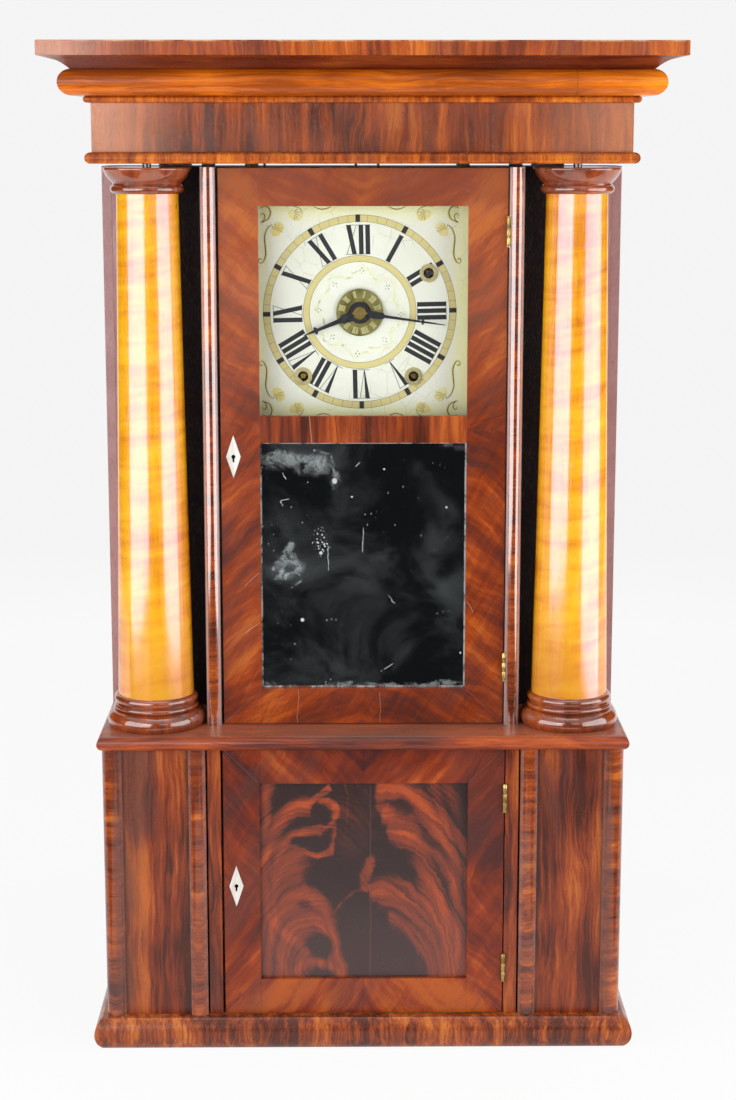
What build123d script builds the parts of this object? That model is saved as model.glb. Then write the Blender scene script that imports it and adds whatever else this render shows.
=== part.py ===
from build123d import *
import os
from math import cos, hypot, pi, sin, sqrt

# All sizes are in millimetres. Depths are measured forward from the back of the case,
# heights upward from the floor, and x to the right as the clock is seen from the front.

# Case
side_thickness = 9.0
back_thickness = 8.0
chute_depth = 42.0
backing_thickness = 8.0
recess_depth = 72.0
shelf_reach = 48.0
lower_setback = 14.0
base_height = 30.0
lower_height = 262.0
shelf_thickness = 13.5
shelf_overhang = 3.5
upper_height = 518.5
floor_thickness = 12.0
rail_thickness = 18.0
glue_line = 0.1
cut_overrun = 5.0

# Base moulding
base_overhang = 11.5
base_front_overhang = 17.0
base_nose_share = 0.42

# Lower front
lower_stile_width = 14.0
lower_stile_thickness = 18.0
flank_thickness = 9.0
outer_round_width = 18.0
inner_round_width = 16.3
round_rise = 7.0
quirk_width = 1.5

# Door box of the upper section
box_width = 294.0
wall_thickness = 12.0
strip_width = 14.0
stop_width = 8.0
stop_thickness = 8.0

# Cornice
cornice_gap = 3.5
soffit_thickness = 10.0
frieze_inset = 3.0
frieze_thickness = 9.0
frieze_setback = 0.6
bead_height = 10.0
bead_reach = 5.9
frieze_height = 43.0
strip_height = 6.0
strip_reach = 6.0
bullnose_height = 23.0
bullnose_reach = 26.0
splay_height = 10.5
splay_foot = 16.0
splay_reach = 38.5
splay_hollow = 2.0
top_board_thickness = 13.0
top_board_reach = 42.0
block_depth = 9.0
block_width = 12.0
peg_radius = 1.2
cornice_block_shares = (-0.96, -0.69, 0.63, 0.96)
cornice_peg_shares = (-0.61, -0.04, 0.1)

# Columns
column_side_gap = 2.0
column_setback = 8.0
shaft_top_radius = 28.2
shaft_waist_radius = 31.9
shaft_foot_radius = 35.6
shaft_waist_share = 0.45
column_base_height = 30.5
column_base_radius = 46.0
capital_height = 23.5
capital_radius = 40.0
column_peg_radius = 4.0

# Turned outlines, as shares of the radius and height: a step with one point is a line to
# it, and a step with two is an arc through the first to the second.
column_base_shares = (((0.945, 0),), ((1, 0.23), (0.93, 0.46)), ((0.91, 0.46),), ((0.91, 0.52),),
                      ((0.835, 0.54),), ((0.867, 0.62), (0.82, 0.7)), ((0.8, 0.73),),
                      ((0.858, 0.86), (0.79, 1)), ((0, 1),), ((0, 0),))
capital_shares = (((0.765, 0),), ((0.84, 0.17), (0.79, 0.34)), ((0.785, 0.38),), ((0.81, 0.44),),
                  ((0.905, 0.62), (0.985, 0.88)), ((1, 0.94), (0.985, 1)), ((0, 1),), ((0, 0),))
bob_shares = (((0, 0.5),), ((0.62, 0.36), (1, 0.12)), ((1, -0.12),), ((0.62, -0.36), (0, -0.5)),
              ((0, 0),))

# Doors
door_thickness = 18.0
lock_side_gap = 2.2
hinge_side_gap = 1.0
door_end_gap = 0.7
upper_stile_width = 36.0
upper_rail_width = 34.0
mid_rail_width = 25.0
dial_window_height = 191.0
lower_frame_width = 34.0
panel_recess = 4.5
panel_thickness = 7.0
rebate_lip = 6.0
rebate_width = 5.0
rebate_clearance = 0.5
glass_thickness = 2.0
mirror_thickness = 2.5
mirror_backing_thickness = 5.0

# Hinges
hinge_length = 25.4
knuckle_radius = 2.1
knuckle_gap = 0.2
knuckle_clearance = 0.3
hinge_pin_radius = 0.9
pin_running_clearance = 0.08
pin_head_height = 0.8
leaf_thickness = 0.9
leaf_depth = 12.0
upper_hinge_drops = (57.6, 462.8)
lower_hinge_drops = (48.5, 215.5)

# Locks and escutcheons
lock_backset = 11.5
upper_lock_drop = 263.3
lower_lock_drop = 134.8
lock_height = 40.0
lock_width = 24.0
lock_thickness = 9.0
lock_wall = 1.6
lock_edge_margin = 1.5
bolt_height = 9.0
bolt_thickness = 4.0
bolt_length = 17.0
bolt_throw = 5.0
bolt_clearance = 0.1
keeper_clearance = 0.6
escutcheon_length = 40.0
escutcheon_width = 13.4
escutcheon_thickness = 1.4
escutcheon_proud = 0.3
inlay_clearance = 0.1
keyhole_radius = 1.9
keyhole_slot = 5.0
keyhole_slot_width = 1.7

# Dial and hands
dial_drop = 132.8
dial_offset = -2.4
dial_front = 100.0
dial_thickness = 6.0
dial_width = 220.0
dial_height = 222.0
dial_rise = 3.0
dial_centre_hole = 6.5
cleat_width = 30.0
cleat_thickness = 10.0
time_winding = (50.0, -59.6)
strike_winding = (-52.8, -59.4)
alarm_winding = (63.7, 36.0)
winding_hole_radius = 6.2
grommet_radius = 8.5
grommet_bore = 4.75
grommet_rim = 1.0
grommet_clearance = 0.1
minute_hand_length = 80.0
hour_hand_length = 56.5
minute_hand_turn = 98.1
hour_hand_turn = 247.7
hand_thickness = 0.8
hand_gap = 1.6
minute_hand_width = 6.2
hour_hand_width = 8.4
hand_boss_radius = 8.8
minute_outline_shares = ((0, 1), (0.27, 1), (0.29, 0.45), (0.72, 0.3), (0.725, 0.84),
                         (0.745, 0.84), (0.75, 0.3), (1, 0.1))
hour_outline_shares = ((0, 1), (0.3, 1), (0.36, 0.52), (0.74, 0.33), (0.775, 0.86),
                       (0.8, 0.86), (0.805, 0.33), (1, 0.06))
alarm_disc_radius = 21.8
alarm_disc_thickness = 1.2
alarm_disc_gap = 1.5
hour_collar_radius = 10.0
hour_pipe_radius = 4.6
centre_arbor_radius = 2.2
centre_arbor_end = 113.0
hour_wheel_depth = 86.0
hour_wheel_radius = 18.0
hour_wheel_thickness = 1.5
hand_nut_radius = 5.8
hand_nut_height = 2.6
hand_pin_radius = 0.7
hand_pin_length = 14.0
running_clearance = 0.08

# Movement
movement_half_width = 82.0
movement_rise = 68.0
movement_drop = 100.0
plate_thickness = 2.0
back_plate_depth = 14.0
front_plate_depth = 58.0
pillar_radius = 4.0
pillar_neck_radius = 2.5
pillar_inset = 5.0
pillar_tail = 3.0
winding_arbor_radius = 3.0
winding_square = 4.4
winding_arbor_end = 97.0
drum_radius = 20.0
drum_depth = 20.0
drum_length = 24.0
drum_flange_radius = 23.0
drum_flange_thickness = 1.5
great_wheel_radius = 36.0
great_wheel_thickness = 2.5
great_wheel_teeth = 48
tooth_height = 2.2
tooth_root_share = 0.28
tooth_tip_share = 0.12
wheel_hole_place_share = 0.56
wheel_hole_share = 0.24
barrel_radius = 16.0
centre_wheel_radius = 26.0
centre_wheel_depth = 50.0
centre_wheel_thickness = 1.5
centre_wheel_teeth = 40
arbor_radius = 1.2
hub_radius = 4.0
hub_length = 5.0

# Escapement and pendulum
pendulum_offset = -26.0
verge_rise = 56.0
escape_drop = 19.0
escape_radius = 13.0
escape_teeth = 30
escape_tooth_height = 3.0
escape_lean_share = 0.3
escape_depth = 61.7
escape_thickness = 1.8
stud_radius = 1.5
stud_end = 74.0
stud_collar_radius = 3.2
stud_collar_length = 1.5
verge_hub_radius = 3.6
verge_reach = 10.0
verge_drop = 9.0
verge_thickness = 2.0
verge_shares = ((-1, -1), (-0.92, -0.93), (-0.72, -0.3), (0, -0.05), (0.72, -0.3), (0.92, -0.93),
                (1, -1), (0.85, 0.1), (0, 0.4), (-0.85, 0.1))
crutch_length = 48.0
crutch_radius = 0.8
crutch_depth = 66.0
crutch_plate = 6.0
pendulum_depth = 69.6
pendulum_eye_radius = 3.4
pendulum_eye_length = 2.2
pendulum_rod_radius = 0.9
pendulum_length = 348.0
bob_radius = 28.0
bob_thickness = 12.0
bob_tail = 34.0
rating_nut_radius = 4.0
rating_nut_height = 4.0

# Strike and alarm
gong_offset = 34.0
gong_drop = 237.0
gong_inner_radius = 22.0
gong_pitch = 6.0
gong_turns = 3
gong_wire_radius = 1.2
gong_depth = 19.0
gong_block_width = 16.0
gong_block_height = 14.0
gong_block_margin = 4.0
gong_block_gap = 1.2
strike_pivot = (-10.0, -90.0)
strike_arm_length = 147.0
strike_arm_radius = 1.0
strike_head_radius = 5.0
strike_head_length = 10.0
strike_gap = 3.0
hammer_arm_depth = 19.0
alarm_pivot = (40.0, 58.0)
bell_rise = 93.0
bell_radius = 17.0
bell_wall = 1.3
bell_height = 11.0
bell_depth = 22.0
bell_dome_shares = (0.8, 0.62)
bell_post_radius = 1.6
alarm_arm_depth = 27.0
alarm_head_radius = 4.0
alarm_head_length = 6.0
alarm_gap = 1.6

# Weights, cords and pulleys
weight_side_gap = 11.0
weight_width = 66.0
weight_thickness = 34.0
weight_height = 190.0
weight_corner = 12.0
weight_drop = 124.0
weight_eye_radius = 5.0
weight_eye_wire = 1.2
cord_radius = 1.0
cord_gap = 0.1
cord_end_gap = 0.3
pulley_radius = 12.0
pulley_rim = 2.6
pulley_thickness = 8.0
pulley_pin_radius = 1.4
pulley_pin_length = 22.0
pulley_pin_clearance = 0.08
pulley_groove_width = 2.0
pulley_lip = 0.8
slot_clearance = 2.0
slot_lead = 14.0
chute_margin = 2.0

# Derived heights
shelf_bottom = base_height + lower_height
shelf_top = shelf_bottom + shelf_thickness
case_top = shelf_top + upper_height
cornice_bottom = case_top + cornice_gap
frieze_bottom = cornice_bottom + bead_height
strip_bottom = frieze_bottom + frieze_height
bullnose_bottom = strip_bottom + strip_height
splay_bottom = bullnose_bottom + bullnose_height
board_bottom = splay_bottom + splay_height
dial_height_centre = case_top - dial_drop

# Derived depths
chute_front = back_thickness + chute_depth
backing_front = chute_front + backing_thickness
door_front = backing_front + recess_depth
door_back = door_front - door_thickness
shelf_front = door_front + shelf_reach
lower_front = shelf_front - lower_setback
column_depth = door_front - column_setback
frieze_front = column_depth + capital_radius - frieze_setback
overall_depth = frieze_front + top_board_reach
chute_centre = back_thickness + chute_depth / 2

# Derived widths: each column fills the bay between the door box and the side of the case
half_box = box_width / 2
half_opening = half_box - strip_width
lower_opening = box_width - 2 * lower_stile_width
half_lower = lower_opening / 2
half_bay = column_base_radius + column_side_gap
column_offset = half_box + half_bay
case_width = box_width + 4 * half_bay
half_case = case_width / 2
half_inside = half_case - side_thickness
frieze_width = case_width - 2 * frieze_inset
half_frieze = frieze_width / 2
weight_offset = half_inside - weight_side_gap - weight_width / 2


def y_at(depth):
    return overall_depth / 2 - depth


def face_plane(depth, x=0.0, z=0.0):
    # A plane that faces the viewer: local x is x, local y is height.
    return Plane(origin=(x, y_at(depth), z), x_dir=(1, 0, 0), z_dir=(0, -1, 0))


def block(x0, x1, d0, d1, z0, z1, mode=Mode.ADD):
    with Locations(((x0 + x1) / 2, y_at((d0 + d1) / 2), (z0 + z1) / 2)):
        Box(abs(x1 - x0), d1 - d0, z1 - z0, mode=mode)


def turned(x, z, d0, d1, radius, mode=Mode.ADD):
    # A cylinder along the depth of the clock.
    with BuildSketch(face_plane(d0, x, z)) as section:
        Circle(radius)
    extrude(section.sketch, amount=d1 - d0, mode=mode)


def save(node, label):
    node.part.label = label
    export_step(node.part, "parts/" + label + ".step")


def nosed(back, reach, bottom, height):
    # Outline of a strip with a half-round nose: u is outward, v is height.
    nose = reach - height / 2
    Line((-back, bottom), (nose, bottom))
    ThreePointArc((nose, bottom), (reach, bottom + height / 2), (nose, bottom + height))
    Line((nose, bottom + height), (-back, bottom + height))
    Line((-back, bottom + height), (-back, bottom))


def mitred(outline, half_width, front):
    # A moulding round three sides of the case: a front length and two returns,
    # with a glue line at each mitre. The outline is drawn outward from the case.
    long_enough = half_width + 2 * top_board_reach
    with BuildPart() as front_length:
        with BuildSketch(Plane(origin=(0, y_at(front), 0), x_dir=(0, -1, 0), z_dir=(-1, 0, 0))):
            with BuildLine():
                outline()
            make_face()
        extrude(amount=long_enough, both=True)
        for side in (-1, 1):
            corner = (side * (half_width - glue_line), y_at(front), 0)
            split(bisect_by=Plane(origin=corner, z_dir=(side, 1, 0)), keep=Keep.BOTTOM)
    with BuildPart() as right_return:
        with BuildSketch(face_plane(0, half_width)):
            with BuildLine():
                outline()
            make_face()
        extrude(amount=front + 2 * top_board_reach)
        corner = (half_width, y_at(front), 0)
        split(bisect_by=Plane(origin=corner, z_dir=(1, 1, 0)), keep=Keep.TOP)
    with BuildPart() as pieces:
        add(front_length.part)
        add(right_return.part)
        mirror(right_return.part, about=Plane.YZ)
    return pieces


def hinge_axis(front):
    # The knuckles stand just proud of the door, over the gap at its hinge side.
    return front + knuckle_radius + knuckle_gap


def upper_hinge_heights():
    return [case_top - drop for drop in upper_hinge_drops]


def lower_hinge_heights():
    return [shelf_bottom - drop for drop in lower_hinge_drops]


def hinge_x(opening):
    return opening - hinge_side_gap / 2


def leaf_pocket(edge, side, front, heights):
    # Recess for a leaf in a vertical face, open towards the front.
    for height in heights:
        block(edge, edge + side * (leaf_thickness + glue_line), front - leaf_depth - glue_line,
              front + knuckle_radius, height - hinge_length / 2 - glue_line,
              height + hinge_length / 2 + glue_line, mode=Mode.SUBTRACT)


def knuckle_pocket(x, front, heights):
    for height in heights:
        with BuildSketch(Plane.XY.offset(height - hinge_length / 2 - 2 * pin_head_height)) as section:
            with Locations((x, y_at(hinge_axis(front)))):
                Circle(knuckle_radius + knuckle_clearance)
        extrude(section.sketch, amount=hinge_length + 4 * pin_head_height, mode=Mode.SUBTRACT)


upper_lock_height = case_top - upper_lock_drop
lower_lock_height = shelf_bottom - lower_lock_drop
upper_bolt_depth = door_back + lock_edge_margin + lock_thickness / 2
lower_door_back = lower_front - door_thickness
lower_bolt_depth = lower_door_back + lock_edge_margin + lock_thickness / 2


def bolt_level(height):
    # The bolt runs just above the keyhole.
    return height + keyhole_radius + lock_wall + bolt_height / 2


def keeper(edge, bolt_depth, height):
    # Mortise that takes the bolt, cut into the fixed board at the door's left.
    level = bolt_level(height)
    block(edge - bolt_throw - keeper_clearance, edge + cut_overrun,
          bolt_depth - bolt_thickness / 2 - keeper_clearance,
          bolt_depth + bolt_thickness / 2 + keeper_clearance,
          level - bolt_height / 2 - keeper_clearance, level + bolt_height / 2 + keeper_clearance,
          mode=Mode.SUBTRACT)


def turned_outline(shares, radius, height):
    here = (0, 0)
    for step in shares:
        points = [(u * radius, v * height) for u, v in step]
        if len(points) == 1:
            Line(here, points[0])
        else:
            ThreePointArc(here, *points)
        here = points[-1]


os.makedirs("parts", exist_ok=True)

# Case: floor, sides, back and the fixed front boards

with BuildPart() as bottom_frame:
    block(-half_inside, half_inside, back_thickness, lower_front, 0, floor_thickness)
    block(-half_inside, half_inside, lower_front - rail_thickness, lower_front,
          floor_thickness + glue_line, base_height)
save(bottom_frame, "bottom_frame")


def base_outline():
    crown = base_front_overhang
    Line((0, 0), (crown * (1 - base_nose_share), 0))
    ThreePointArc((crown * (1 - base_nose_share), 0), (crown, base_height / 2),
                  (crown * (1 - base_nose_share), base_height))
    Line((crown * (1 - base_nose_share), base_height), (0, base_height))
    Line((0, base_height), (0, 0))


# The side lengths stand out less than the front one, so the corner follows the front.
base_half_width = half_case + base_overhang - base_front_overhang
with BuildPart() as base_outer:
    add(mitred(base_outline, base_half_width, lower_front).part)
    block(-half_case - glue_line, half_case + glue_line, 0, lower_front,
          0, base_height + cut_overrun, mode=Mode.SUBTRACT)
save(base_outer, "base_moulding")

with BuildPart() as side_boards:
    for side in (-1, 1):
        block(side * half_inside, side * half_case, 0, lower_front, 0, shelf_bottom)
        block(side * half_inside, side * half_case, 0, backing_front, shelf_top, case_top)
save(side_boards, "side_boards")

with BuildPart() as backboard:
    block(-half_inside, half_inside, 0, back_thickness, 0, case_top)
save(backboard, "backboard")

with BuildPart() as lower_front_boards:
    for side in (-1, 1):
        block(side * half_lower, side * (half_box - quirk_width), lower_front - lower_stile_thickness,
              lower_front, base_height, shelf_bottom)
        block(side * (half_box + glue_line), side * half_inside,
              lower_front - flank_thickness, lower_front, base_height, shelf_bottom)
    leaf_pocket(half_lower, 1, lower_front, lower_hinge_heights())
    keeper(-half_lower, lower_bolt_depth, lower_lock_height)
save(lower_front_boards, "lower_front_boards")

with BuildPart() as mid_shelf:
    shelf_half = half_case + shelf_overhang
    with BuildSketch(Plane.XY.offset(shelf_bottom)):
        with Locations((0, y_at(shelf_front / 2))):
            Rectangle(2 * shelf_half, shelf_front)
    extrude(amount=shelf_thickness)
    nose_radius = shelf_thickness / 2 - glue_line
    front_edges = mid_shelf.edges().filter_by(Axis.X).group_by(Axis.Y)[0]
    end_edges = mid_shelf.edges().filter_by(Axis.Y)
    fillet(front_edges + end_edges, radius=nose_radius)
    block(-half_inside, half_inside, -cut_overrun, back_thickness,
          shelf_bottom - cut_overrun, shelf_top + cut_overrun, mode=Mode.SUBTRACT)
    for side in (-1, 1):
        notch_inner = weight_offset - weight_width / 2 - 4 * chute_margin
        block(side * notch_inner, side * (half_inside - chute_margin), back_thickness - cut_overrun,
              chute_front - glue_line, shelf_bottom - cut_overrun, shelf_top + cut_overrun,
              mode=Mode.SUBTRACT)
save(mid_shelf, "mid_shelf")

with BuildPart() as column_backings:
    for side in (-1, 1):
        block(side * (half_box - wall_thickness), side * half_inside,
              chute_front, backing_front, shelf_top, case_top)
save(column_backings, "column_backings")

with BuildPart() as door_box_walls:
    for side in (-1, 1):
        block(side * (half_box - wall_thickness), side * half_box,
              backing_front, door_back, shelf_top, case_top)
save(door_box_walls, "door_box_walls")


# Half-round mouldings planted on the front

def half_round(x0, x1, back, flat, bottom, top, rise):
    # A straight run whose plan is a rectangle with an arched front.
    with BuildSketch(Plane.XY.offset(bottom)) as section:
        with BuildLine():
            Line((x0, y_at(back)), (x1, y_at(back)))
            if flat > back:
                Line((x1, y_at(back)), (x1, y_at(flat)))
            ThreePointArc((x1, y_at(flat)), ((x0 + x1) / 2, y_at(flat + rise)), (x0, y_at(flat)))
            if flat > back:
                Line((x0, y_at(flat)), (x0, y_at(back)))
        make_face()
    extrude(section.sketch, amount=top - bottom)


with BuildPart() as half_rounds:
    for side in (-1, 1):
        half_round(side * (half_case - outer_round_width), side * half_case, lower_front, lower_front,
                   base_height, shelf_bottom, round_rise)
        half_round(side * half_box, side * (half_box + inner_round_width), lower_front, lower_front,
                   base_height, shelf_bottom, round_rise)
        half_round(side * half_opening, side * half_box, door_back, door_front,
                   shelf_top, case_top, round_rise)
    leaf_pocket(half_opening, 1, door_front, upper_hinge_heights())
    knuckle_pocket(hinge_x(half_opening), door_front, upper_hinge_heights())
    keeper(-half_opening, upper_bolt_depth, upper_lock_height)
save(half_rounds, "half_rounds")

with BuildPart() as inner_battens:
    stop_edge = half_box - wall_thickness
    lower_stop_edge = half_lower - stop_width
    dial_centre_x = dial_offset
    dial_bottom = dial_height_centre + dial_rise - dial_height / 2
    for side in (-1, 1):
        block(side * (stop_edge - stop_width), side * stop_edge, door_back - stop_thickness, door_back,
              shelf_top, case_top)
        block(side * (stop_edge - cleat_width), side * stop_edge,
              dial_front - dial_thickness - cleat_thickness, dial_front - dial_thickness,
              dial_bottom, dial_bottom + dial_height)
        block(side * lower_stop_edge, side * half_box,
              lower_front - door_thickness - stop_thickness, lower_front - door_thickness,
              base_height, shelf_bottom)
save(inner_battens, "inner_battens")

with BuildPart() as case_roof:
    roof_bottom = case_top - floor_thickness
    block(-half_inside, half_inside, back_thickness, chute_front, roof_bottom, case_top)
    block(-half_box + wall_thickness, half_box - wall_thickness, chute_front,
          door_back - stop_thickness, roof_bottom, case_top)
    for side in (-1, 1):
        pulley_x = side * (weight_offset - pulley_radius - cord_radius - cord_gap)
        slot_half = pulley_radius + pulley_rim + slot_clearance
        block(pulley_x - side * (slot_half + slot_lead), pulley_x + side * slot_half,
              chute_centre - pulley_thickness / 2 - slot_clearance,
              chute_centre + pulley_thickness / 2 + slot_clearance,
              roof_bottom - cut_overrun, case_top + cut_overrun, mode=Mode.SUBTRACT)
        turned(pulley_x, case_top, chute_centre - pulley_pin_length / 2 - slot_clearance,
               chute_centre + pulley_pin_length / 2 + slot_clearance,
               pulley_pin_radius + pulley_pin_clearance, mode=Mode.SUBTRACT)
save(case_roof, "case_roof")


# Cornice

def bead_outline():
    nosed(frieze_thickness, bead_reach, cornice_bottom, bead_height)


def frieze_outline():
    Line((-frieze_thickness, frieze_bottom), (0, frieze_bottom))
    Line((0, frieze_bottom), (0, strip_bottom))
    Line((0, strip_bottom), (-frieze_thickness, strip_bottom))
    Line((-frieze_thickness, strip_bottom), (-frieze_thickness, frieze_bottom))


def strip_outline():
    nosed(frieze_thickness, strip_reach, strip_bottom, strip_height)


def bullnose_outline():
    nosed(frieze_thickness, bullnose_reach, bullnose_bottom, bullnose_height)


def splay_outline():
    Line((-frieze_thickness, splay_bottom), (splay_foot, splay_bottom))
    run = splay_reach - splay_foot
    slope = hypot(run, splay_height)
    middle = ((splay_foot + splay_reach) / 2 - splay_hollow * splay_height / slope,
              splay_bottom + splay_height / 2 + splay_hollow * run / slope)
    ThreePointArc((splay_foot, splay_bottom), middle, (splay_reach, board_bottom))
    Line((splay_reach, board_bottom), (-frieze_thickness, board_bottom))
    Line((-frieze_thickness, board_bottom), (-frieze_thickness, splay_bottom))


with BuildPart() as cornice_beads:
    add(mitred(bead_outline, half_frieze, frieze_front).part)
    add(mitred(strip_outline, half_frieze, frieze_front).part)
save(cornice_beads, "cornice_beads")
save(mitred(frieze_outline, half_frieze, frieze_front), "cornice_frieze")
save(mitred(bullnose_outline, half_frieze, frieze_front), "cornice_bullnose")
save(mitred(splay_outline, half_frieze, frieze_front), "cornice_splay")

with BuildPart() as cornice_top_board:
    board_half = half_frieze + top_board_reach
    block(-board_half, board_half, 0, overall_depth, board_bottom, board_bottom + top_board_thickness)
save(cornice_top_board, "cornice_top_board")

with BuildPart() as cornice_soffit:
    soffit_half = half_frieze - frieze_thickness
    block(-soffit_half, soffit_half, chute_front + block_depth, frieze_front - frieze_thickness,
          cornice_bottom, cornice_bottom + soffit_thickness)
    # Blocks and pegs that the soffit rests on, each a glue line clear of it.
    block_back = door_back - stop_thickness - 2 * block_depth
    for share in cornice_block_shares:
        place = share * half_box
        block(place - block_width / 2, place + block_width / 2, block_back, block_back + block_depth,
              case_top, cornice_bottom - glue_line)
    for share in cornice_peg_shares:
        with BuildSketch(Plane.XY.offset(case_top)):
            with Locations((share * half_box, y_at(block_back + block_depth / 2))):
                Circle(peg_radius)
        extrude(amount=cornice_gap - glue_line)
save(cornice_soffit, "cornice_soffit")


# Columns

def on_column(side, height):
    return Plane(origin=(side * column_offset, y_at(column_depth), height), x_dir=(1, 0, 0),
                 z_dir=(0, -1, 0))


with BuildPart() as column_bases:
    for side in (-1, 1):
        with BuildSketch(on_column(side, shelf_top)):
            with BuildLine():
                turned_outline(column_base_shares, column_base_radius, column_base_height)
            make_face()
        revolve(axis=Axis((side * column_offset, y_at(column_depth), 0), (0, 0, 1)))
save(column_bases, "column_bases")

with BuildPart() as column_shafts:
    shaft_bottom = shelf_top + column_base_height
    shaft_height = case_top - capital_height - shaft_bottom
    for side in (-1, 1):
        with BuildSketch(on_column(side, shaft_bottom)):
            with BuildLine():
                Line((0, 0), (shaft_foot_radius, 0))
                ThreePointArc((shaft_foot_radius, 0),
                              (shaft_waist_radius, shaft_waist_share * shaft_height),
                              (shaft_top_radius, shaft_height))
                Line((shaft_top_radius, shaft_height), (0, shaft_height))
                Line((0, shaft_height), (0, 0))
            make_face()
        revolve(axis=Axis((side * column_offset, y_at(column_depth), 0), (0, 0, 1)))
save(column_shafts, "column_shafts")

with BuildPart() as column_capitals:
    for side in (-1, 1):
        with BuildSketch(on_column(side, case_top - capital_height)):
            with BuildLine():
                turned_outline(capital_shares, capital_radius, capital_height)
            make_face()
        revolve(axis=Axis((side * column_offset, y_at(column_depth), 0), (0, 0, 1)))
        with BuildSketch(Plane.XY.offset(case_top)):
            with Locations((side * column_offset, y_at(column_depth))):
                Circle(column_peg_radius)
        extrude(amount=cornice_gap)
save(column_capitals, "column_capitals")


# Doors: stiles, rails and what they hold

upper_door_left = -half_opening + lock_side_gap
upper_door_right = half_opening - hinge_side_gap
upper_door_bottom = shelf_top + door_end_gap
upper_door_top = case_top - door_end_gap
lower_door_left = -half_lower + lock_side_gap
lower_door_right = half_lower - hinge_side_gap
lower_door_bottom = base_height + door_end_gap
lower_door_top = shelf_bottom - door_end_gap
dial_window_top = upper_door_top - upper_rail_width
dial_window_bottom = dial_window_top - dial_window_height
mirror_top = dial_window_bottom - mid_rail_width
mirror_bottom = upper_door_bottom + upper_rail_width
window_left = upper_door_left + upper_stile_width
window_right = upper_door_right - upper_stile_width
panel_left = lower_door_left + lower_frame_width
panel_right = lower_door_right - lower_frame_width
panel_top = lower_door_top - lower_frame_width
panel_bottom = lower_door_bottom + lower_frame_width
upper_lock_x = upper_door_left + lock_backset
lower_lock_x = lower_door_left + lock_backset


def rebate(left, right, bottom, top, back, front, width=rebate_width):
    block(left - width, right + width, back - cut_overrun, front, bottom - width, top + width,
          mode=Mode.SUBTRACT)


def keyhole(x, height, d0, d1):
    with BuildSketch(face_plane(d0, x, height)) as section:
        Circle(keyhole_radius)
        with Locations((0, -keyhole_slot / 2)):
            Rectangle(keyhole_slot_width, keyhole_slot)
    extrude(section.sketch, amount=d1 - d0, mode=Mode.SUBTRACT)


def diamond(x, height, d0, d1, grow=0.0, mode=Mode.ADD):
    with BuildSketch(face_plane(d0, x, height)) as section:
        with BuildLine():
            Polyline((0, escutcheon_length / 2 + grow), (escutcheon_width / 2 + grow, 0),
                     (0, -escutcheon_length / 2 - grow), (-escutcheon_width / 2 - grow, 0), close=True)
        make_face()
    extrude(section.sketch, amount=d1 - d0, mode=mode)


def lock_mortise(left, x, height, back, front):
    # Room for the lock, its keyhole and the inlaid escutcheon.
    block(left - cut_overrun, left + lock_width + glue_line, back - cut_overrun,
          back + lock_edge_margin + lock_thickness + glue_line,
          height - lock_height / 2 - glue_line, height + lock_height / 2 + glue_line, mode=Mode.SUBTRACT)
    keyhole(x, height, back, front + cut_overrun)
    diamond(x, height, front - escutcheon_thickness + escutcheon_proud, front + cut_overrun,
            inlay_clearance, Mode.SUBTRACT)


with BuildPart() as upper_door_frame:
    block(upper_door_left, window_left, door_back, door_front, upper_door_bottom, upper_door_top)
    block(window_right, upper_door_right, door_back, door_front, upper_door_bottom, upper_door_top)
    for z0, z1 in ((dial_window_top, upper_door_top), (mirror_top, dial_window_bottom),
                   (upper_door_bottom, mirror_bottom)):
        block(window_left + glue_line, window_right - glue_line, door_back, door_front, z0, z1)
    rebate(window_left, window_right, dial_window_bottom, dial_window_top, door_back,
           door_front - rebate_lip)
    rebate(window_left, window_right, mirror_bottom, mirror_top, door_back, door_front - rebate_lip)
    leaf_pocket(upper_door_right, -1, door_front, upper_hinge_heights())
    lock_mortise(upper_door_left, upper_lock_x, upper_lock_height, door_back, door_front)
save(upper_door_frame, "upper_door_frame")

pane_grow = rebate_width - rebate_clearance


def pane(left, right, bottom, top, front, thickness):
    block(left - pane_grow, right + pane_grow, front - thickness, front,
          bottom - pane_grow, top + pane_grow)


with BuildPart() as dial_glass:
    pane(window_left, window_right, dial_window_bottom, dial_window_top, door_front - rebate_lip,
         glass_thickness)
save(dial_glass, "dial_glass")

with BuildPart() as mirror_plate:
    pane(window_left, window_right, mirror_bottom, mirror_top, door_front - rebate_lip, mirror_thickness)
save(mirror_plate, "mirror_plate")

with BuildPart() as mirror_backing:
    pane(window_left, window_right, mirror_bottom, mirror_top,
         door_front - rebate_lip - mirror_thickness, mirror_backing_thickness)
save(mirror_backing, "mirror_backing")

with BuildPart() as lower_door_frame:
    for x0, x1 in ((lower_door_left, panel_left), (panel_right, lower_door_right)):
        block(x0, x1, lower_door_back, lower_front, lower_door_bottom, lower_door_top)
    for z0, z1 in ((panel_top, lower_door_top), (lower_door_bottom, panel_bottom)):
        block(panel_left + glue_line, panel_right - glue_line, lower_door_back, lower_front, z0, z1)
    rebate(panel_left, panel_right, panel_bottom, panel_top, lower_door_back, lower_front - panel_recess)
    leaf_pocket(lower_door_right, -1, lower_front, lower_hinge_heights())
    lock_mortise(lower_door_left, lower_lock_x, lower_lock_height, lower_door_back, lower_front)
save(lower_door_frame, "lower_door_frame")

with BuildPart() as lower_door_panel:
    pane(panel_left, panel_right, panel_bottom, panel_top, lower_front - panel_recess, panel_thickness)
save(lower_door_panel, "lower_door_panel")


def escutcheon(x, height, front):
    with BuildPart() as plate:
        diamond(x, height, front - escutcheon_thickness + escutcheon_proud, front + escutcheon_proud)
        keyhole(x, height, front - 2 * escutcheon_thickness, front + cut_overrun)
    return plate


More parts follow.
